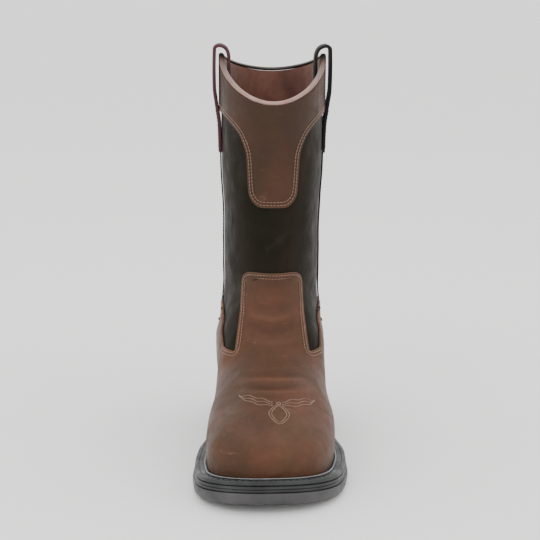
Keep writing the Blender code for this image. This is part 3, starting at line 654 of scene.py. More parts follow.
def vamp_gap(points):
    front = UPPER_LENGTH + REACH
    seam = SEAM_STATION + GAP / 2
    wing = SEAM_STATION + 0.4 * (WEDGE_STATION - SEAM_STATION)
    side = [
        (seam, -REACH),
        (seam, WING_HEIGHT),
        (wing, WING_HEIGHT - 0.003),
        (WEDGE_STATION, WEDGE_HEIGHT),
        (front, WEDGE_HEIGHT),
        (front, -REACH),
    ]
    middle = (WEDGE_HEIGHT + TAB_TOP) / 2
    tab = [
        (-WEDGE_HALF, WEDGE_HEIGHT - 0.010),
        (-TAB_HALF - 0.0015, middle),
        (-TAB_HALF, TAB_TOP),
        (TAB_HALF, TAB_TOP),
        (TAB_HALF + 0.0015, middle),
        (WEDGE_HALF, WEDGE_HEIGHT - 0.010),
    ]
    tongue = both(seen_along(1, points, rounded(tab, 0.009)), beyond(points, seam, 1))
    return both(seen_along(0, points, side), tongue, -1)


def counter_gap(points):
    seam = SEAM_STATION - GAP / 2
    side = [
        (-REACH, -REACH),
        (-REACH, COUNTER_BACK),
        (0.2 * seam, COUNTER_BACK),
        (0.6 * seam, (COUNTER_BACK + WING_HEIGHT) / 2 - 0.006),
        (seam, WING_HEIGHT),
        (seam, -REACH),
    ]
    return seen_along(0, points, side)


def collar_front_gap(points):
    edge = SHAFT_WIDTH
    shield = [
        (-edge, COLLAR_SIDE + 0.004),
        (-0.50 * SHAFT_WIDTH, COLLAR_SIDE),
        (-0.32 * SHAFT_WIDTH, (COLLAR_SIDE + SHIELD_SHOULDER) / 2),
        (-SHIELD_HALF - 0.002, SHIELD_SHOULDER),
        (-SHIELD_HALF, SHIELD_FOOT + 0.009),
        (-SHIELD_HALF + 0.007, SHIELD_FOOT),
    ]
    shield += [(-across, up) for across, up in shield[::-1]]
    shield += [(edge, EAR_HEIGHT + REACH), (-edge, EAR_HEIGHT + REACH)]
    return both(seen_along(1, points, rounded(shield, 0.006)), beyond(points, SEAM_STATION + GAP / 2, 1))


def collar_back_gap(points):
    edge = SHAFT_WIDTH
    scallop = []
    for share in np.linspace(-1, 1, 25):
        dip = (COLLAR_SIDE - COLLAR_BACK_FOOT) * math.cos(share * math.pi / 2) ** 2
        scallop.append((share * SHAFT_WIDTH / 2, COLLAR_SIDE - dip))
    scallop = [(-edge, COLLAR_SIDE), *scallop, (edge, COLLAR_SIDE)]
    scallop += [(edge, EAR_HEIGHT + REACH), (-edge, EAR_HEIGHT + REACH)]
    return both(seen_along(1, points, scallop), beyond(points, SEAM_STATION - GAP / 2, -1))


# Modelling steps


def only(piece):
    """Makes this piece the only one that operators act on."""
    bpy.ops.object.select_all(action="DESELECT")
    piece.select_set(True)
    bpy.context.view_layer.objects.active = piece


@contextlib.contextmanager
def editing(piece):
    """Edit mode in face selection, with the faces that are flagged as selected."""
    only(piece)
    bpy.context.tool_settings.mesh_select_mode = (False, False, True)
    bpy.ops.object.mode_set(mode="EDIT")
    yield
    bpy.ops.object.mode_set(mode="OBJECT")


def on_all_faces(piece, step, **settings):
    with editing(piece):
        bpy.ops.mesh.select_all(action="SELECT")
        step(**settings)


def mesh_piece(name, points, faces, finishes=()):
    """A mesh through points given in the boot's own measures."""
    mesh = bpy.data.meshes.new(name)
    mesh.from_pydata(in_room(points).tolist(), [], faces)
    for finish in finishes:
        mesh.materials.append(finish)
    piece = bpy.data.objects.new(name, mesh)
    bpy.context.scene.collection.objects.link(piece)
    on_all_faces(piece, bpy.ops.mesh.normals_make_consistent, inside=False)
    return piece


def modify(piece, kind, **settings):
    """Adds a modifier and applies it."""
    only(piece)
    modifier = piece.modifiers.new(kind.title(), kind)
    for name, value in settings.items():
        setattr(modifier, name, value)
    bpy.ops.object.modifier_apply(modifier=modifier.name)


def places_of(piece):
    place = np.empty(len(piece.data.vertices), np.int32)
    piece.data.attributes["place"].data.foreach_get("value", place)
    return place


def spots_of(piece):
    flat = np.empty(3 * len(piece.data.vertices), np.float32)
    piece.data.vertices.foreach_get("co", flat)
    return flat.reshape(-1, 3).astype(float)


def keep_value(piece, name, values):
    """Keeps a number at each vertex, for the materials."""
    kept = piece.data.attributes.new(name, "FLOAT", "POINT")
    kept.data.foreach_set("value", np.asarray(values, np.float32))


def grid_piece(name, points):
    """A grid pulled onto rows of points, its faces towards the side from which the rows run clockwise."""
    rows, columns = points.shape[:2]
    bpy.ops.object.select_all(action="DESELECT")
    bpy.ops.mesh.primitive_grid_add(x_subdivisions=columns - 1, y_subdivisions=rows - 1, size=1)
    piece = bpy.context.object
    piece.name = piece.data.name = name
    flat = spots_of(piece)
    i = np.rint((flat[:, 1] + 0.5) * (rows - 1)).astype(int)
    j = np.rint((flat[:, 0] + 0.5) * (columns - 1)).astype(int)
    kept = piece.data.attributes.new("place", "INT", "POINT")
    kept.data.foreach_set("value", (i * columns + j).astype(np.int32))
    piece.data.vertices.foreach_set("co", in_room(points[i, j]).astype(np.float32).ravel())
    piece.data.update()
    return piece


def face_outwards(piece, out):
    """Turns the faces of a sheet to the outward directions, in room coordinates."""
    mesh = piece.data
    normals = np.empty(3 * len(mesh.polygons), np.float32)
    mesh.polygons.foreach_get("normal", normals)
    starts = np.empty(len(mesh.polygons), np.int32)
    mesh.polygons.foreach_get("loop_start", starts)
    corners = np.empty(len(mesh.loops), np.int32)
    mesh.loops.foreach_get("vertex_index", corners)
    agree = (normals.reshape(-1, 3) * out[corners[starts]]).sum()
    if agree < 0:
        on_all_faces(piece, bpy.ops.mesh.flip_normals)


def cut_to_outline(piece, points, out, gap_of):
    """Deletes the faces outside the outline and moves the cut's vertices onto it. Returns those vertices."""
    mesh = piece.data
    rows, columns = points.shape[:2]
    flat_points, flat_out = points.reshape(-1, 3), out.reshape(-1, 3)
    gap = gap_of(flat_points)[0]
    corners = np.empty(len(mesh.loops), np.int32)
    mesh.loops.foreach_get("vertex_index", corners)
    outside = gap[places_of(piece)[corners]].reshape(-1, 4).mean(axis=1) > 0
    mesh.vertices.foreach_set("select", np.zeros(len(mesh.vertices), bool))
    mesh.edges.foreach_set("select", np.zeros(len(mesh.edges), bool))
    mesh.polygons.foreach_set("select", outside)
    with editing(piece):
        bpy.ops.mesh.delete(type="FACE")
    place = places_of(piece)
    rim = np.zeros(len(mesh.vertices), bool)
    rim[rim_edges(mesh).ravel()] = True
    i, j = place // columns, place % columns
    own_edge = (i == 0) | (i == rows - 1) | (j == 0) | (j == columns - 1)
    moved = rim & (np.abs(gap[place]) < np.where(own_edge, 0.0012, 0.006))
    spots = flat_points[place].copy()
    for _ in range(4):
        miss, slope = gap_of(spots[moved])
        normal = flat_out[place[moved]]
        along_skin = slope - (slope * normal).sum(axis=1)[:, None] * normal
        size = np.maximum((along_skin**2).sum(axis=1), 0.08)
        spots[moved] -= (miss / size)[:, None] * along_skin
    return spots, moved, place


def rim_edges(mesh):
    """The edges that only one face has, as pairs of vertices."""
    used = np.empty(len(mesh.loops), np.int32)
    mesh.loops.foreach_get("edge_index", used)
    pairs = np.empty(2 * len(mesh.edges), np.int32)
    mesh.edges.foreach_get("vertices", pairs)
    return pairs.reshape(-1, 2)[np.bincount(used, minlength=len(mesh.edges)) == 1]


def chains(pairs):
    """Runs of vertices that the pairs join."""
    near = {}
    for a, b in pairs.tolist():
        near.setdefault(a, []).append(b)
        near.setdefault(b, []).append(a)
    found, used = [], set()
    for start in sorted(near, key=lambda v: len(near[v])):
        if start in used:
            continue
        run = [start]
        used.add(start)
        while True:
            ahead = [v for v in near[run[-1]] if v not in used]
            if not ahead:
                break
            run.append(ahead[0])
            used.add(ahead[0])
        if len(run) > 5:
            found.append(run)
    return found


def shade(piece, angle=40):
    only(piece)
    bpy.ops.object.shade_smooth_by_angle(angle=math.radians(angle))


def finish_piece(piece, slot, *nodes):
    """Ties a finished piece to the frame: its body and the nodes it stands for; its material slot is not used."""
    if "place" in piece.data.attributes:
        piece.data.attributes.remove(piece.data.attributes["place"])
    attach(piece, "root")
    if nodes:
        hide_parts(*nodes)


def panel(name, gap_of, skins):
    """A leather panel over the upper, with its stitch lines: points and outward directions, in order."""
    top = PANEL_POINTS + (GAP + OVERLAY) * PANEL_OUT
    piece = grid_piece(name, top)
    spots, moved, place = cut_to_outline(piece, top, PANEL_OUT, gap_of)
    piece.data.vertices.foreach_set("co", in_room(spots).astype(np.float32).ravel())
    out = PANEL_OUT.reshape(-1, 3)[place]
    keep_value(piece, "fold", PANEL_DEPTH.ravel()[place] / DEEPEST)
    keep_value(piece, "edge", np.clip(-gap_of(spots)[0] / EDGE_WEAR, 0, 1))
    face_outwards(piece, out * TO_ROOM)
    pairs = rim_edges(piece.data)
    runs = [(spots[run], out[run]) for run in chains(pairs[moved[pairs].all(axis=1)])]
    on_all_faces(piece, bpy.ops.mesh.remove_doubles, threshold=MERGE)
    for skin in skins:
        piece.data.materials.append(skin)
    modify(piece, "SOLIDIFY", thickness=OVERLAY, offset=-1, material_offset=1, material_offset_rim=2)
    modify(piece, "BEVEL", width=0.0004, segments=2, limit_method="ANGLE", angle_limit=math.radians(55))
    shade(piece)
    return piece, runs


# Thread


def stitch_spots(line, out, inset, pitch, gap_of=None, lift=0.0):
    """Middles, directions and outward directions of stitches along a line, inset into its panel."""
    length = np.linalg.norm(np.diff(line, axis=0), axis=1).sum()
    count = max(4, int(length / 0.0018))
    line, out = evenly(line, count), evenly(line, count, out)
    for _ in range(3):
        line[1:-1] = (line[:-2] + 2 * line[1:-1] + line[2:]) / 4
    run = np.gradient(line, axis=0)
    run /= np.linalg.norm(run, axis=1)[:, None]
    if inset:
        side = np.cross(out, run)
        side /= np.linalg.norm(side, axis=1)[:, None]
        outside = (gap_of(line + 0.003 * side)[0] > 0).mean() > 0.5
        moved = line + (-inset if outside else inset) * side
        ahead = (np.gradient(moved, axis=0) * run).sum(axis=1) > 0
        line, out = moved[ahead], out[ahead]
    count = int(length / pitch)
    if count < 2:
        return np.empty((0, 3)), np.empty((0, 3)), np.empty((0, 3))
    ends = evenly(line, 2 * count + 1)
    middles = ends[1::2]
    ways = ends[2::2] - ends[:-2:2]
    ways /= np.maximum(np.linalg.norm(ways, axis=1), 1e-9)[:, None]
    normals = evenly(line, 2 * count + 1, out)[1::2]
    return middles + lift * normals, ways, normals


def thread(name, rows, length, radius, finish):
    """All the stitches of some rows in one mesh, each a copy of one small bead."""
    middles, ways, normals = [np.concatenate(part) for part in zip(*rows)]
    bpy.ops.object.select_all(action="DESELECT")
    bpy.ops.mesh.primitive_uv_sphere_add(segments=6, ring_count=5, radius=1)
    bead = bpy.context.object
    shape = spots_of(bead)
    shape = np.sign(shape) * np.abs(shape) ** 0.8
    faces = [list(face.vertices) for face in bead.data.polygons]
    bpy.data.objects.remove(bead, do_unlink=True)
    sides = np.cross(normals, ways)
    sides /= np.maximum(np.linalg.norm(sides, axis=1), 1e-9)[:, None]
    lifts = np.cross(ways, sides)
    spots = (
        middles[:, None]
        + shape[None, :, 2:3] * ways[:, None] * length / 2
        + shape[None, :, 0:1] * sides[:, None] * radius
        + shape[None, :, 1:2] * lifts[:, None] * radius
    )
    count = len(shape)
    corners = [[k * count + v for v in face] for k in range(len(middles)) for face in faces]
    piece = mesh_piece(name, spots.reshape(-1, 3), corners, [finish])
    shade(piece, 80)
    return piece


# Ring-shaped and stacked pieces


def ring_piece(name, rings, finishes, faces_of=None, hollow=False):
    """A solid through closed rings of points, capped at its ends, or closed on itself if hollow."""
    count = len(rings[0])
    faces, skins = [], []
    pairs = list(zip(range(len(rings)), range(1, len(rings))))
    if hollow:
        pairs.append((len(rings) - 1, 0))
    for low, high in pairs:
        for j in range(count):
            k = (j + 1) % count
            faces.append([low * count + j, low * count + k, high * count + k, high * count + j])
            skins.append(faces_of(low) if faces_of else 0)
    for first in () if hollow else (0, (len(rings) - 1) * count):
        for j in range(count // 2):
            face = [j, j + 1, (count - j - 1) % count, (count - j) % count]
            faces.append([first + i for i in dict.fromkeys(face)])
            skins.append(0)
    piece = mesh_piece(name, np.concatenate(rings), faces, finishes)
    piece.data.polygons.foreach_set("material_index", np.array(skins, np.int32))
    return piece


def cut_with(piece, cutter, operation="DIFFERENCE"):
    modify(piece, "BOOLEAN", operation=operation, solver="EXACT", object=cutter)
    bpy.data.objects.remove(cutter, do_unlink=True)


# Finishes


def paint(red, green, blue):
    """A colour as the eye names it, 0 to 255, for a shader."""
    shares = [value / 255 for value in (red, green, blue)]
    return tuple(s / 12.92 if s <= 0.04045 else ((s + 0.055) / 1.055) ** 2.4 for s in shares) + (1.0,)


class Finish:
    """A material under the name of its finish, built up node by node over the boot's own coordinates."""

    def __init__(self, name, roughness, coat=0.0, sheen=0.0, specular=0.5):
        self.material = bpy.data.materials.new(name)
        self.material.use_nodes = True
        self.tree = self.material.node_tree
        self.shader = self.tree.nodes["Principled BSDF"]
        self.shader.inputs["Roughness"].default_value = roughness
        self.shader.inputs["Coat Weight"].default_value = coat
        self.shader.inputs["Coat Roughness"].default_value = 0.35
        self.shader.inputs["Sheen Weight"].default_value = sheen
        self.shader.inputs["Specular IOR Level"].default_value = specular
        self.place = self.tree.nodes.new("ShaderNodeTexCoord").outputs["Object"]

    def put(self, target, value):
        if isinstance(value, bpy.types.NodeSocket):
            self.tree.links.new(value, target)
        else:
            target.default_value = value

    def stretched(self, stretch):
        node = self.tree.nodes.new("ShaderNodeMapping")
        self.put(node.inputs["Vector"], self.place)
        node.inputs["Scale"].default_value = stretch
        return node.outputs["Vector"]

    def noise(self, scale, detail=3.0, distortion=0.0, stretch=(1, 1, 1)):
        node = self.tree.nodes.new("ShaderNodeTexNoise")
        self.put(node.inputs["Vector"], self.stretched(stretch))
        node.inputs["Scale"].default_value = scale
        node.inputs["Detail"].default_value = detail
        node.inputs["Distortion"].default_value = distortion
        return node.outputs["Fac"]

    def cells(self, scale, stretch=(1, 1, 1), feature="F1"):
        node = self.tree.nodes.new("ShaderNodeTexVoronoi")
        node.feature = feature
        self.put(node.inputs["Vector"], self.stretched(stretch))
        node.inputs["Scale"].default_value = scale
        return node.outputs["Distance"]

    def kept(self, name):
        node = self.tree.nodes.new("ShaderNodeAttribute")
        node.attribute_name = name
        return node.outputs["Fac"]

    def part_of_place(self, axis):
        node = self.tree.nodes.new("ShaderNodeSeparateXYZ")
        self.put(node.inputs[0], self.place)
        return node.outputs[axis]

    def spread(self, value, low, high, start=0.0, end=1.0):
        """The value from low to high as start to end."""
        node = self.tree.nodes.new("ShaderNodeMapRange")
        for name, given in zip(("Value", "From Min", "From Max", "To Min", "To Max"), (value, low, high, start, end)):
            self.put(node.inputs[name], given)
        return node.outputs["Result"]

    def sum(self, first, second, how="ADD"):
        node = self.tree.nodes.new("ShaderNodeMath")
        node.operation = how
        self.put(node.inputs[0], first)
        self.put(node.inputs[1], second)
        return node.outputs[0]

    def mix(self, share, first, second, how="MIX"):
        node = self.tree.nodes.new("ShaderNodeMix")
        node.data_type = "RGBA"
        node.blend_type = how
        self.put(node.inputs["Factor"], share)
        self.put(node.inputs["A"], first)
        self.put(node.inputs["B"], second)
        return node.outputs["Result"]

    def colour(self, base, *layers):
        """The base colour with each (share, colour) laid over it in turn."""
        for share, colour in layers:
            base = self.mix(share, base, colour)
        self.put(self.shader.inputs["Base Color"], base)

    def rough(self, value):
        self.put(self.shader.inputs["Roughness"], value)

    def bump(self, *heights):
        """Relief from heights given as (value, depth in metres), one over the other."""
        below = None
        for value, depth in heights:
            node = self.tree.nodes.new("ShaderNodeBump")
            node.inputs["Strength"].default_value = 1.0
            node.inputs["Distance"].default_value = depth
            self.put(node.inputs["Height"], value)
            if below:
                self.put(node.inputs["Normal"], below)
            below = node.outputs["Normal"]
        self.put(self.shader.inputs["Normal"], below)


def vamp_leather():
    """Oiled brown leather with redder and olive patches, worn paler at its edges, with painted shade in its creases
    and painted highlight on their ridges.
    """
    made = Finish("oiled brown leather", 0.5, specular=0.15)
    height = made.part_of_place("Z")
    fold = made.kept("fold")
    fine = made.spread(made.noise(190, 5), 0.35, 0.68)
    patches = made.spread(made.noise(17, 3, 0.6), 0.40, 0.62)
    # Darker in patches low on the upper, from 22 mm to 44 mm above the floor.
    darker_low = made.sum(made.spread(height, 0.022, 0.044, 0.75, 0), made.noise(120, 4), "MULTIPLY")
    made.colour(
        made.mix(patches, paint(70, 48, 34), paint(88, 55, 40)),
        (made.spread(made.noise(11, 2, 0.4, (1.3, 0.8, 1.1)), 0.52, 0.70, 0, 0.4), paint(76, 60, 38)),
        (made.sum(fine, 0.30, "MULTIPLY"), paint(62, 41, 29)),
        # Painted shade: darker in the crease troughs.
        (made.spread(fold, 0.0, 0.9, 0, 0.6), paint(44, 29, 21)),
        # Painted highlight: lighter on the crease ridges.
        (made.spread(fold, -0.5, -0.08, 0.3, 0), paint(124, 86, 66)),
        (made.spread(made.kept("edge"), 0.0, 0.40, 0.28, 0), paint(118, 92, 72)),
        (made.spread(made.noise(75, 6, 1.2, (1, 1, 2.2)), 0.66, 0.74, 0, 0.4), paint(118, 88, 66)),
        # Darker in patches near the welt.
        (darker_low, paint(54, 36, 22)),
        # Painted shade: darker from 0.12 m up to 0.26 m, so the higher panels read darker than the lit toe.
        (made.spread(height, 0.12, 0.26, 0, 0.62), paint(40, 28, 21)),
    )
    made.rough(made.spread(made.noise(60, 4, 0.5), 0.3, 0.7, 0.40, 0.60))
    grain = made.cells(820, feature="DISTANCE_TO_EDGE")
    pores = made.spread(made.cells(1500), 0.0, 0.35)
    made.bump((made.noise(55, 3, 0.6), 0.0011), (grain, 0.00022), (pores, 0.00005))
    return made.material


def shaft_leather():
    """Near-black olive shaft leather with a soft gloss, painted highlight on its crease ridges and painted shade in
    its creases.
    """
    made = Finish("black shaft leather", 0.5, specular=0.06)
    fold = made.kept("fold")
    patches = made.spread(made.noise(14, 3, 0.7, (1, 1, 0.6)), 0.38, 0.64)
    made.colour(
        made.mix(patches, paint(25, 22, 15), paint(36, 28, 22)),
        (made.spread(made.noise(48, 5, 0.8), 0.56, 0.75, 0, 0.4), paint(46, 41, 33)),
        # Painted highlight: lighter on the crease ridges.
        (made.spread(fold, -0.5, -0.05, 0.3, 0), paint(56, 50, 40)),
        # Painted shade: darker in the crease troughs.
        (made.spread(fold, 0.0, 0.9, 0, 0.6), paint(15, 13, 9)),
    )
    made.rough(made.spread(made.noise(70, 4), 0.3, 0.7, 0.42, 0.62))
    grain = made.cells(900, feature="DISTANCE_TO_EDGE")
    made.bump((made.noise(42, 3, 0.8, (1, 1, 0.7)), 0.0014), (grain, 0.00020), (made.noise(650, 3), 0.0001))
    return made.material


def lining_leather():
    made = Finish("reddish lining", 0.72, sheen=0.15)
    patches = made.spread(made.noise(20, 3, 0.5), 0.38, 0.62)
    wear = made.spread(made.noise(150, 5), 0.45, 0.75, 0, 0.4)
    made.colour(made.mix(patches, paint(82, 45, 34), paint(112, 70, 54)), (wear, paint(68, 34, 25)))
    made.bump((made.noise(500, 4), 0.0002), (made.noise(60, 2), 0.0008))
    return made.material


def raw_edge(name, light, dark):
    """The pale cut edge of a panel."""
    made = Finish(name, 0.6)
    made.colour(made.mix(made.spread(made.noise(220, 4), 0.35, 0.7), light, dark))
    made.bump((made.noise(900, 3), 0.00015))
    return made.material


def binding_leather():
    """The rolled collar edge in dark leather, with a painted pinkish highlight along the front that fades out up
    towards the ears and round the back.
    """
    made = Finish("rolled edge leather", 0.45, coat=0.1)
    # Pinkish at the front: painted highlight over the edge's dark leather.
    painted_highlight = made.mix(made.spread(made.noise(120, 4), 0.3, 0.7), paint(140, 104, 94), paint(168, 132, 120))
    dark = made.mix(made.spread(made.noise(90, 3), 0.3, 0.7), paint(40, 31, 26), paint(62, 50, 42))
    height = made.part_of_place("Z")
    # The painted highlight fades into the dark leather up towards the ears.
    painted_highlight = made.mix(made.spread(height, 0.298, 0.326, 0, 0.75), painted_highlight, dark)
    # Round the back the edge keeps its dark leather, without the painted highlight.
    back = made.spread(made.part_of_place("Y"), 0.066, 0.092)
    made.colour(made.mix(back, painted_highlight, dark))
    made.bump((made.noise(700, 3), 0.00012), (made.noise(130, 2), 0.0004))
    return made.material


def strap_webbing(name, light, dark):
    """A woven pull strap, with twill lines slanting over its length."""
    made = Finish(name, 0.7, sheen=0.05, specular=0.2)
    node = made.tree.nodes.new("ShaderNodeTexWave")
    node.wave_type = "BANDS"
    node.bands_direction = "DIAGONAL"
    made.put(node.inputs["Vector"], made.stretched((1, 1, 1)))
    node.inputs["Scale"].default_value = 260
    node.inputs["Distortion"].default_value = 0.6
    made.colour(made.mix(made.sum(node.outputs["Fac"], made.noise(60, 3), "MULTIPLY"), dark, light))
    made.bump((node.outputs["Fac"], 0.0003), (made.noise(900, 2), 0.0001))
    return made.material


def thread_finish(name, light, dark):
    made = Finish(name, 0.55, sheen=0.2)
    made.colour(made.mix(made.noise(160, 3), dark, light))
    twist = made.noise(1600, 2, 0, (1, 1, 3))
    made.bump((twist, 0.0001))
    return made.material


def rubber(name, base, dust, roughness, dusty=0.5):
    """Moulded rubber, worn paler in patches and dusty near the floor."""
    made = Finish(name, roughness, specular=0.4)
    low = made.spread(made.part_of_place("Z"), 0.0, 0.009, 0.55 * dusty, 0)
    patches = made.spread(made.noise(34, 5, 0.6), 0.42, 0.70, 0, dusty)
    scratches = made.spread(made.noise(120, 6, 1.5, (1, 1, 4)), 0.64, 0.72, 0, 0.5 * dusty)
    made.colour(base, (patches, dust), (low, dust), (scratches, dust))
    made.rough(made.spread(made.noise(80, 4), 0.3, 0.7, roughness - 0.12, roughness + 0.12))
    made.bump((made.noise(75, 4, 0.4), 0.0006), (made.noise(900, 3), 0.00008))
    return made.material


def floor_finish():
    made = Finish("pale floor", 0.6, specular=0.2)
    made.colour(paint(248, 247, 246))
    return made.material


# The boot's pieces

UPPER_FINENESS = 6
PANEL_FINENESS = 9
MERGE = 1e-5
STITCH_ROWS = 2
STITCH_INSET = 0.0021
STITCH_ROWS_APART = 0.0026
STITCH_PITCH = 0.0030
STITCH_LENGTH = 0.0025
STITCH_RADIUS = 0.00036
EDGE_WEAR = 0.0040
DEEPEST = 0.0014


def upper_piece(points, out, depth, skins):
    """The upper's wall: shaft leather outside, lining inside."""
    piece = grid_piece("boot_upper", points)
    place = places_of(piece)
    keep_value(piece, "fold", depth.ravel()[place] / DEEPEST)
    face_outwards(piece, out.reshape(-1, 3)[place] * TO_ROOM)
    on_all_faces(piece, bpy.ops.mesh.remove_doubles, threshold=MERGE)
    for skin in skins:
        piece.data.materials.append(skin)
    modify(piece, "SOLIDIFY", thickness=WALL, offset=-1, material_offset=1, material_offset_rim=2)
    shade(piece, 60)
    finish_piece(piece, "black_leather", "upper")


def stitched_panel(node, gap_of):
    """A brown panel with rows of stitches beside its cut edges."""
    name = "boot_" + node
    piece, runs = panel(name, gap_of, (brown, black, brown_edge))
    finish_piece(piece, "brown_leather", node)
    spots = []
    for line, out in runs:
        for k in range(STITCH_ROWS):
            inset = STITCH_INSET + k * STITCH_ROWS_APART
            spots.append(stitch_spots(line, out, inset, STITCH_PITCH, gap_of))
    stitches = thread(name + "_thread", spots, STITCH_LENGTH, STITCH_RADIUS, tan_thread)
    finish_piece(stitches, "brown_leather")
    return piece


# The toe's stitched ornament, in (across, along): a long loop with a knot behind it, and waves to each side
BUG_LOOP = (0.0040, 0.2545)
BUG_LOOP_HALF = (0.0062, 0.0130)
BUG_WAVES = (-0.0052, 0.0, 0.0052)
BUG_WAVE_START = 0.0035
BUG_WAVE_REACH = 0.0270
BUG_PITCH = 0.0023
BUG_STITCH = 0.0020
BUG_RADIUS = 0.0005


def bug_lines():
    """The ornament's lines on the flat, each a row of (across, along)."""
    middle = np.array(BUG_LOOP)
    lines = []
    for grow in (0.0, 0.0022):
        angle = np.linspace(0, 2 * math.pi, 49)
        round_out = np.column_stack([np.sin(angle), -np.cos(angle)])
        diamond = round_out * np.abs(round_out) ** 0.45
        lines.append(middle + diamond * (np.array(BUG_LOOP_HALF) + grow))
    knot = middle - np.array([0.0, BUG_LOOP_HALF[1] + 0.0035])
    angle = np.linspace(0, 2 * math.pi, 21)
    lines.append(knot + 0.0026 * np.column_stack([np.sin(angle), np.cos(angle)]))
    share = np.linspace(0, 1, 40)
    for side in (-1, 1):
        for k, shift in enumerate(BUG_WAVES):
            across = side * (BUG_WAVE_START + BUG_WAVE_REACH * share)
            wave = 0.0019 * np.sin(share * 5 * math.pi + 0.7 * k)
            spread = shift * np.sin(math.pi * np.clip(share * 0.9 + 0.1, 0, 1)) ** 0.7
            along = knot[1] - 0.0165 * share**1.7 + spread + wave
            lines.append(np.column_stack([middle[0] + across - 0.001, along]))
    return lines


def toe_ornament(vamp_piece, cotton):
    """The ornament's stitches, dropped onto the vamp from above."""
    graph = bpy.context.evaluated_depsgraph_get()
    tree = BVHTree.FromObject(vamp_piece, graph)
    spots = []
    for line in bug_lines():
        found = []
        for across, along in line:
            above = in_room(np.array([across, along, 0.2]))
            hit, normal, _, _ = tree.ray_cast(above, (0, 0, -1))
            if hit:
                found.append((from_room(np.array(hit)), np.array(normal) * TO_ROOM))
        if len(found) > 5:
            points, out = [np.array(part) for part in zip(*found)]
            spots.append(stitch_spots(points, out, 0, BUG_PITCH, lift=0.00005))
    stitches = thread("toe_ornament_thread", spots, BUG_STITCH, BUG_RADIUS, cotton)
    finish_piece(stitches, "brown_leather")


def binding_piece(leather):
    """The rolled edge round the collar, as a ring bent along the rim."""
    rim = PANEL_POINTS[-1][:-1]
    away = PANEL_OUT[-1][:-1]
    run = np.roll(rim, -1, axis=0) - np.roll(rim, 1, axis=0)
    up = np.cross(run, away)
    up /= np.linalg.norm(up, axis=1)[:, None]
    up *= np.sign(up[:, 2])[:, None]
    centre = rim + up * (GAP + BINDING_HEIGHT / 2) + away * (GAP + OVERLAY - WALL) / 2
    sides = 14
    rings = []
    for k in range(sides):
        angle = 2 * math.pi * (k + 0.5) / sides
        lift = up * math.sin(angle) * BINDING_HEIGHT / 2
        rings.append(centre + lift + away * math.cos(angle) * BINDING_HALF)
    piece = ring_piece("collar_rolled_edge", rings, [leather], hollow=True)
    shade(piece, 80)
    finish_piece(piece, "edge_leather", "collar_binding")


def band(name, side, lanes, path, thick, skins, bevel):
    """A strap or seam: path holds (distance from the upper, height) of its middle, lanes its stations."""
    path = np.array(path)
    points = np.empty((len(path), len(lanes), 3))
    out = np.empty_like(points)
    run = np.gradient(path, axis=0)
    turn = np.column_stack([run[:, 1], -run[:, 0]]) / np.linalg.norm(run, axis=1)[:, None]
    for i, (distance, up) in enumerate(path + thick / 2 * turn):
        for j, along in enumerate(lanes):
            here, away = on_side(along, up, side)
            points[i, j] = here + away * (distance - crease_depth(here))
            points[i, j, 1:] = along, up
            out[i, j] = away * turn[i, 0] + np.array([0, 0, turn[i, 1]])
    piece = grid_piece(name, points)
    place = places_of(piece)
    keep_value(piece, "fold", np.zeros(len(place)))
    face_outwards(piece, out.reshape(-1, 3)[place] * TO_ROOM)
    for skin in skins:
        piece.data.materials.append(skin)
    modify(piece, "SOLIDIFY", thickness=thick, offset=-1)
    modify(piece, "BEVEL", width=bevel, segments=2, limit_method="ANGLE", angle_limit=math.radians(50))
    shade(piece)
    return piece, points, out


def pull_strap_piece(name, side, webbing, cotton):
    near = GAP + STRAP_THICK / 2
    over = OVERLAY + 2 * GAP + STRAP_THICK / 2 + 0.0001
    inside = -WALL - near
    ear = EAR_HEIGHT
    route = [
        (near, STRAP_FOOT),
        (near + 0.0002, STRAP_FOOT + 0.35 * (COLLAR_SIDE - STRAP_FOOT)),
        (0.6 * over, STRAP_FOOT + 0.65 * (COLLAR_SIDE - STRAP_FOOT)),
        (over, COLLAR_SIDE - 0.0025),
        (over + 0.0014, COLLAR_SIDE + 0.007),
        (LOOP_HALF, COLLAR_SIDE + 0.018),
        (LOOP_HALF + 0.0002, ear - 0.012),
        (LOOP_HALF, ear),
        (0.95 * LOOP_HALF, ear + 0.75 * LOOP_RISE),
        (0.3 * LOOP_HALF, ear + LOOP_RISE),
        (-0.6 * LOOP_HALF, ear + 0.75 * LOOP_RISE),
        (-LOOP_HALF - 0.0004, ear - 0.001),
        (-LOOP_HALF - 0.0004, ear - 0.016),
        (inside - 0.0006, COLLAR_SIDE + 0.010),
        (inside, STRAP_INNER_FOOT),
    ]
    places = np.linspace(0, len(route) - 1, 6 * len(route))
    path = smooth(places, np.arange(len(route)), route)
    lanes = SEAM_STATION + STRAP_WIDTH * np.linspace(-0.5, 0.5, 9)
    piece, points, out = band(name, side, lanes, path, STRAP_THICK, [webbing], 0.0005)
    finish_piece(piece, "strap_leather", name.replace("strap_piece", "strap"))
    rows = []
    foot = slice(2, 22)
    for lane in (1, -2):
        rows.append(stitch_spots(points[foot, lane], out[foot, lane], 0, STITCH_PITCH))
    for level in (2, 12):
        rows.append(stitch_spots(points[level, 1:-1], out[level, 1:-1], 0, STITCH_PITCH))
    stitches = thread(name + "_thread", rows, STITCH_LENGTH, STITCH_RADIUS, cotton)
    finish_piece(stitches, "strap_leather")


def side_seam_piece(name, side, leather, cotton):
    ups = np.linspace(WING_HEIGHT + OVERLAY, STRAP_FOOT - 2 * GAP, 60)
    path = [(GAP + SEAM_THICK / 2, up) for up in ups]
    lanes = SEAM_STATION + SEAM_WIDTH * np.linspace(-0.5, 0.5, 5)
    piece, points, out = band(name, side, lanes, path, SEAM_THICK, [leather], 0.00035)
    finish_piece(piece, "black_leather", name.replace("seam_piece", "seam"))
    rows = [stitch_spots(points[:, lane], out[:, lane], 0, STITCH_PITCH) for lane in (1, 3)]
    stitches = thread(name + "_thread", rows, STITCH_LENGTH, 0.8 * STITCH_RADIUS, cotton)
    finish_piece(stitches, "black_leather")


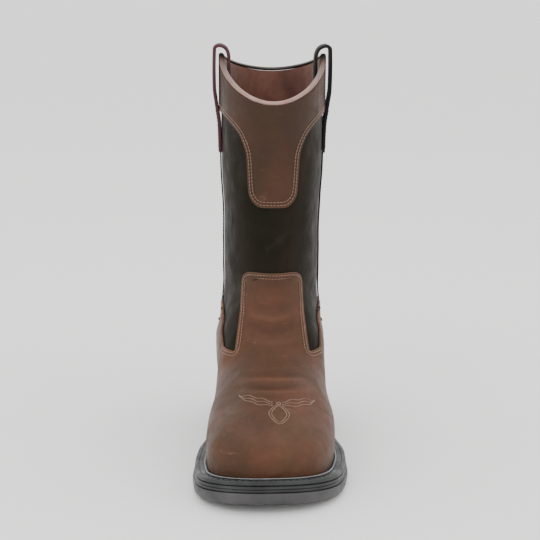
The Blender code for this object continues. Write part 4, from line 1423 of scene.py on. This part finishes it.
def welt_piece(black, rim):
    """The welt with its raised lip, whose top carries a pale painted highlight."""

    def ring(grow, margin, lift):
        return at_height(outline(grow, margin), lambda along: seat(along) + lift)

    def under(grow, margin, share=0.0):
        return at_height(outline(grow, margin), lambda along: under_welt(along) + share * WELT_THICK)

    def lip(share, lift):
        reach = LIP_START + LIP_LEAN * WELT_MARGIN + share * LIP_WIDTH
        return ring(reach, -LIP_LEAN, lift * LIP_RISE)

    rings = [
        under(-WELT_UNDER_UPPER, 0),
        under(-0.0007, 1),
        under(-0.0002, 1, 0.12),
        under(0, 1, 0.33),
        under(0, 1, 0.70),
        ring(-0.0003, 1, -0.0004),
        ring(-0.0009, 1, 0),
        lip(1.0, 0),
        lip(0.95, 0.7),
        lip(0.75, 1.0),
        lip(0.25, 1.0),
        lip(0.05, 0.7),
        lip(0, 0),
        ring(-WELT_UNDER_UPPER, 0, 0),
    ]
    # The lip's top faces take the pale rim finish: a painted highlight along the welt's rim.
    pale = {8, 9, 10}
    piece = ring_piece("welt_strip", rings, [black, rim], lambda low: int(low in pale), hollow=True)
    shade(piece, 35)
    finish_piece(piece, "grey_rubber", "welt")


WELT_THREAD_INSET = 0.0030
WELT_THREAD_START = 0.24
WELT_THREAD_PITCH = 0.0052
WELT_THREAD_STITCH = 0.0040
WELT_THREAD_RADIUS = 0.0005


def welt_thread(cotton):
    """The long stitches in the welt's top, outside the lip, from the heel's front round the toe."""
    line = outline(-WELT_THREAD_INSET, 1)
    points = at_height(np.vstack([line, line[:1]]), seat)
    keep = points[:, 1] > WELT_THREAD_START * UPPER_LENGTH
    order = np.roll(np.arange(len(points) - 1), -int(np.argmin(keep)))
    points = points[order][keep[order]]
    out = np.tile([0.0, 0.0, 1.0], (len(points), 1))
    spots = [stitch_spots(points, out, 0, WELT_THREAD_PITCH)]
    stitches = thread("welt_thread", spots, WELT_THREAD_STITCH, WELT_THREAD_RADIUS, cotton)
    finish_piece(stitches, "grey_rubber")


def midsole_piece(black):
    edge = SOLE_EDGE - GROOVE
    filler = -WELT_UNDER_UPPER - GAP

    def ring(grow, share):
        return at_height(outline(grow, 1), lambda along: under_midsole(along) + share * MIDSOLE_THICK)

    rings = [
        ring(edge - 0.0005, 0.0),
        ring(edge, 0.10),
        ring(edge, 0.42),
        ring(edge - 0.0005, 0.50),
        ring(edge, 0.58),
        ring(edge, 0.90),
        ring(edge - 0.0005, 1.0),
        at_height(outline(filler, 0), top_of_midsole),
        at_height(outline(filler, 0), seat),
    ]
    piece = ring_piece("midsole_layer", rings, [black])
    shade(piece, 35)
    finish_piece(piece, "black_rubber", "midsole")


def bar(points, faces, start, end, top, width):
    """Adds a bar under the sole from start to end, both (across, along), whose top follows the tread."""
    start, end = np.array(start), np.array(end)
    run = (end - start) / np.linalg.norm(end - start)
    side = np.array([-run[1], run[0]]) * width / 2
    first = len(points)
    for lift in (None, top):
        for across, along in (start - side, end - side, end + side, start + side):
            points.append((across, along, -0.02 if lift is None else lift(along)))
    box = [(0, 1, 2, 3), (4, 5, 6, 7), (0, 1, 5, 4), (1, 2, 6, 5), (2, 3, 7, 6), (3, 0, 4, 7)]
    faces += [[first + i for i in face] for face in box]


def outsole_piece(grey):
    """The outsole with a rounded side, and the ball's lugs parted by swept grooves."""

    def ring(grow, lift, from_top=False):
        def height(along):
            return lift + (top_of_outsole(along) if from_top else under_outsole(along))

        return at_height(outline(SOLE_EDGE + grow, 1), height)

    rings = [
        ring(-TREAD_TAPER - 0.0006, 0),
        ring(-TREAD_TAPER + 0.0006, 0.0003),
        ring(-0.0012, 0.0013),
        ring(-0.0004, 0.0025),
        ring(-0.0001, 0.0037),
        ring(0, -0.0020, True),
        ring(-0.0002, -0.0009, True),
        ring(-0.0007, -0.0002, True),
        ring(-0.0015, 0, True),
    ]
    piece = ring_piece("outsole_tread", rings, [grey])
    points, faces = [], []
    first, last = FIRST_GROOVE * UPPER_LENGTH, LAST_GROOVE * UPPER_LENGTH
    count = max(2, round((last - first) / LUG_PITCH))
    for i in range(count + 1):
        along = first + (last - first) * i / count
        for side in (-1, 1):
            start = side * CENTRE_BAR, along
            end = side * BALL_WIDTH, along - LUG_SWEEP * (BALL_WIDTH - CENTRE_BAR)
            bar(points, faces, start, end, lambda station: under_outsole(station)[0] + LUG_DEPTH, LUG_GAP)
    cut_with(piece, mesh_piece("lug_cutter", points, faces))
    shade(piece, 35)
    finish_piece(piece, "grey_rubber", "outsole")


def heel_piece(grey):
    """The heel block in its layers, hollowed a little at each joint, with cross grooves underneath."""
    top = 2 * HEEL_BLOCK
    rings = []
    for share, step in ((0, -0.0006), (0.02, 0), (0.22, 0), (0.235, -0.0005), (0.25, 0), (0.44, 0), (1, 0)):
        grow = -HEEL_TAPER + share * (2 * HEEL_TAPER - 2 * TREAD_TAPER) + step
        rings.append(np.insert(outline(SOLE_EDGE + grow, 1), 2, share * top, axis=1))
    piece = ring_piece("heel_block", rings, [grey])
    side = [(-0.03, -0.01), (HEEL_LENGTH - 0.003, -0.01)]
    side += [(along, under_outsole(along)[0] - GAP) for along in np.linspace(HEEL_LENGTH, -0.03, 24)]
    outline_points = [(reach, *place) for reach in (-REACH, REACH) for place in side]
    count = len(side)
    faces = [list(range(count)), list(range(count, 2 * count))]
    for j in range(count):
        k = (j + 1) % count
        faces.append([j, k, count + k, count + j])
    cut_with(piece, mesh_piece("heel_cutter", outline_points, faces), "INTERSECT")
    points, faces = [], []
    for share in (0.34, 0.62):
        along = share * HEEL_LENGTH
        for way in (-1, 1):
            start, end = (way * CENTRE_BAR, along), (way * BALL_WIDTH, along)
            bar(points, faces, start, end, lambda station: LUG_DEPTH, LUG_GAP)
    cut_with(piece, mesh_piece("heel_groove_cutter", points, faces))
    shade(piece, 35)
    finish_piece(piece, "grey_rubber", "heel")


def insole_piece(leather):
    inset = -WALL - INSOLE_CLEARANCE

    def ring(grow, lift):
        return at_height(outline(inset + grow, 0), lambda along: seat(along) + GAP + lift)

    rings = [ring(0, 0), ring(0, 0.8 * INSOLE_THICK), ring(-0.0006, INSOLE_THICK)]
    piece = ring_piece("insole_board", rings, [leather])
    shade(piece, 35)
    finish_piece(piece, "insole_leather", "insole")


# Camera, light and floor

CAMERA_AWAY = 1.250
CAMERA_HEIGHT = 0.395
CAMERA_DOWN = 11.5
CAMERA_TURN = 1.0
CAMERA_ROLL = 0.4
SHAFT_MIDDLE = 0.077
FOCAL_PIXELS = 1424.0
FRAME_PIXELS = 540
FRAME_MIDDLE = (268.75, 272.0)
LIGHT_AIM = (0.0, 0.0, 0.15)
LIGHTS = (
    # name, place, size, power
    ("key", (-0.9, -1.3, 1.7), (1.1, 0.8), 9),
    ("fill", (1.5, -0.9, 0.9), (0.8, 1.2), 3),
    ("top", (0.1, 0.5, 2.0), (1.4, 1.0), 7),
)
STUDIO_STRENGTH = 1.6
FLOOR_SIZE = 80


def add_camera():
    turn, down, roll = [math.radians(angle) for angle in (CAMERA_TURN, CAMERA_DOWN, CAMERA_ROLL)]
    heading = np.array([math.sin(turn), math.cos(turn), 0.0])
    forward = heading * math.cos(down) - np.array([0, 0, math.sin(down)])
    level = np.array([math.cos(turn), -math.sin(turn), 0.0])
    upright = np.cross(level, forward)
    right = level * math.cos(roll) + upright * math.sin(roll)
    up = upright * math.cos(roll) - level * math.sin(roll)
    data = bpy.data.cameras.new("camera")
    data.sensor_width = 36
    data.lens = FOCAL_PIXELS / FRAME_PIXELS * data.sensor_width
    data.shift_x = (FRAME_PIXELS / 2 - FRAME_MIDDLE[0]) / FRAME_PIXELS
    data.shift_y = (FRAME_MIDDLE[1] - FRAME_PIXELS / 2) / FRAME_PIXELS
    data.clip_end = 200
    camera = bpy.data.objects.new("camera", data)
    bpy.context.scene.collection.objects.link(camera)
    where = np.array([0, SHAFT_MIDDLE, CAMERA_HEIGHT]) - heading * CAMERA_AWAY
    turned = np.column_stack([right, up, -forward])
    camera.matrix_world = Matrix.Translation(where) @ Matrix(turned.tolist()).to_4x4()
    bpy.context.scene.camera = camera


def add_light(name, place, size, power):
    data = bpy.data.lights.new(name, "AREA")
    data.shape = "RECTANGLE"
    data.size, data.size_y = size
    data.energy = power
    light = bpy.data.objects.new(name, data)
    bpy.context.scene.collection.objects.link(light)
    back = Vector(place) - Vector(LIGHT_AIM)
    light.rotation_mode = "QUATERNION"
    light.rotation_quaternion = back.to_track_quat("Z", "Y")
    light.location = place


def add_studio():
    world = bpy.data.worlds.new("studio")
    world.use_nodes = True
    back = world.node_tree.nodes["Background"]
    back.inputs["Color"].default_value = (1.0, 1.0, 1.0, 1)
    back.inputs["Strength"].default_value = STUDIO_STRENGTH
    bpy.context.scene.world = world
    for light in LIGHTS:
        add_light(*light)
    bpy.ops.object.select_all(action="DESELECT")
    bpy.ops.mesh.primitive_plane_add(size=FLOOR_SIZE)
    floor = bpy.context.object
    floor.name = "floor"
    floor.data.materials.append(floor_finish())


brown = vamp_leather()
black = shaft_leather()
lining = lining_leather()
brown_edge = raw_edge("brown cut edge", paint(112, 82, 62), paint(76, 54, 40))
black_edge = raw_edge("black cut edge", paint(54, 45, 37), paint(30, 25, 20))
tan_thread = thread_finish("tan thread", paint(134, 102, 80), paint(88, 64, 48))
dark_thread = thread_finish("dark thread", paint(52, 44, 38), paint(26, 22, 19))
grey_rubber = rubber("grey rubber", paint(54, 53, 54), paint(82, 80, 80), 0.5)
black_rubber = rubber("black rubber", paint(26, 27, 28), paint(70, 72, 74), 0.45, 0.4)
# Pale grey rubber for the welt lip's top: a painted highlight.
highlight_rim = rubber("rubbed welt rim", paint(120, 124, 126), paint(160, 163, 164), 0.45)
# The medial strap's mauve webbing is a paler, lit copy of the dark webbing: painted highlight.
painted_highlight_mauve = strap_webbing("mauve webbing", paint(112, 68, 74), paint(56, 32, 36))
dark_webbing = strap_webbing("dark webbing", paint(42, 33, 32), paint(13, 10, 10))

PANEL_POINTS, PANEL_OUT, PANEL_DEPTH = worn_surface(PANEL_FINENESS)

upper_piece(*worn_surface(UPPER_FINENESS), (black, lining, black_edge))
toe_ornament(stitched_panel("vamp", vamp_gap), tan_thread)
stitched_panel("counter", counter_gap)
stitched_panel("collar_front", collar_front_gap)
stitched_panel("collar_back", collar_back_gap)
binding_piece(binding_leather())
# The medial strap takes the mauve webbing, a painted highlight; the lateral one the dark webbing.
for end, side, webbing in (("medial", -1, painted_highlight_mauve), ("lateral", 1, dark_webbing)):
    pull_strap_piece("pull_strap_piece_" + end, side, webbing, dark_thread)
for end, side in (("medial", -1), ("lateral", 1)):
    side_seam_piece("side_seam_piece_" + end, side, black, dark_thread)
welt_piece(black_rubber, highlight_rim)
welt_thread(dark_thread)
midsole_piece(black_rubber)
outsole_piece(grey_rubber)
heel_piece(grey_rubber)
insole_piece(lining)
add_studio()
add_camera()
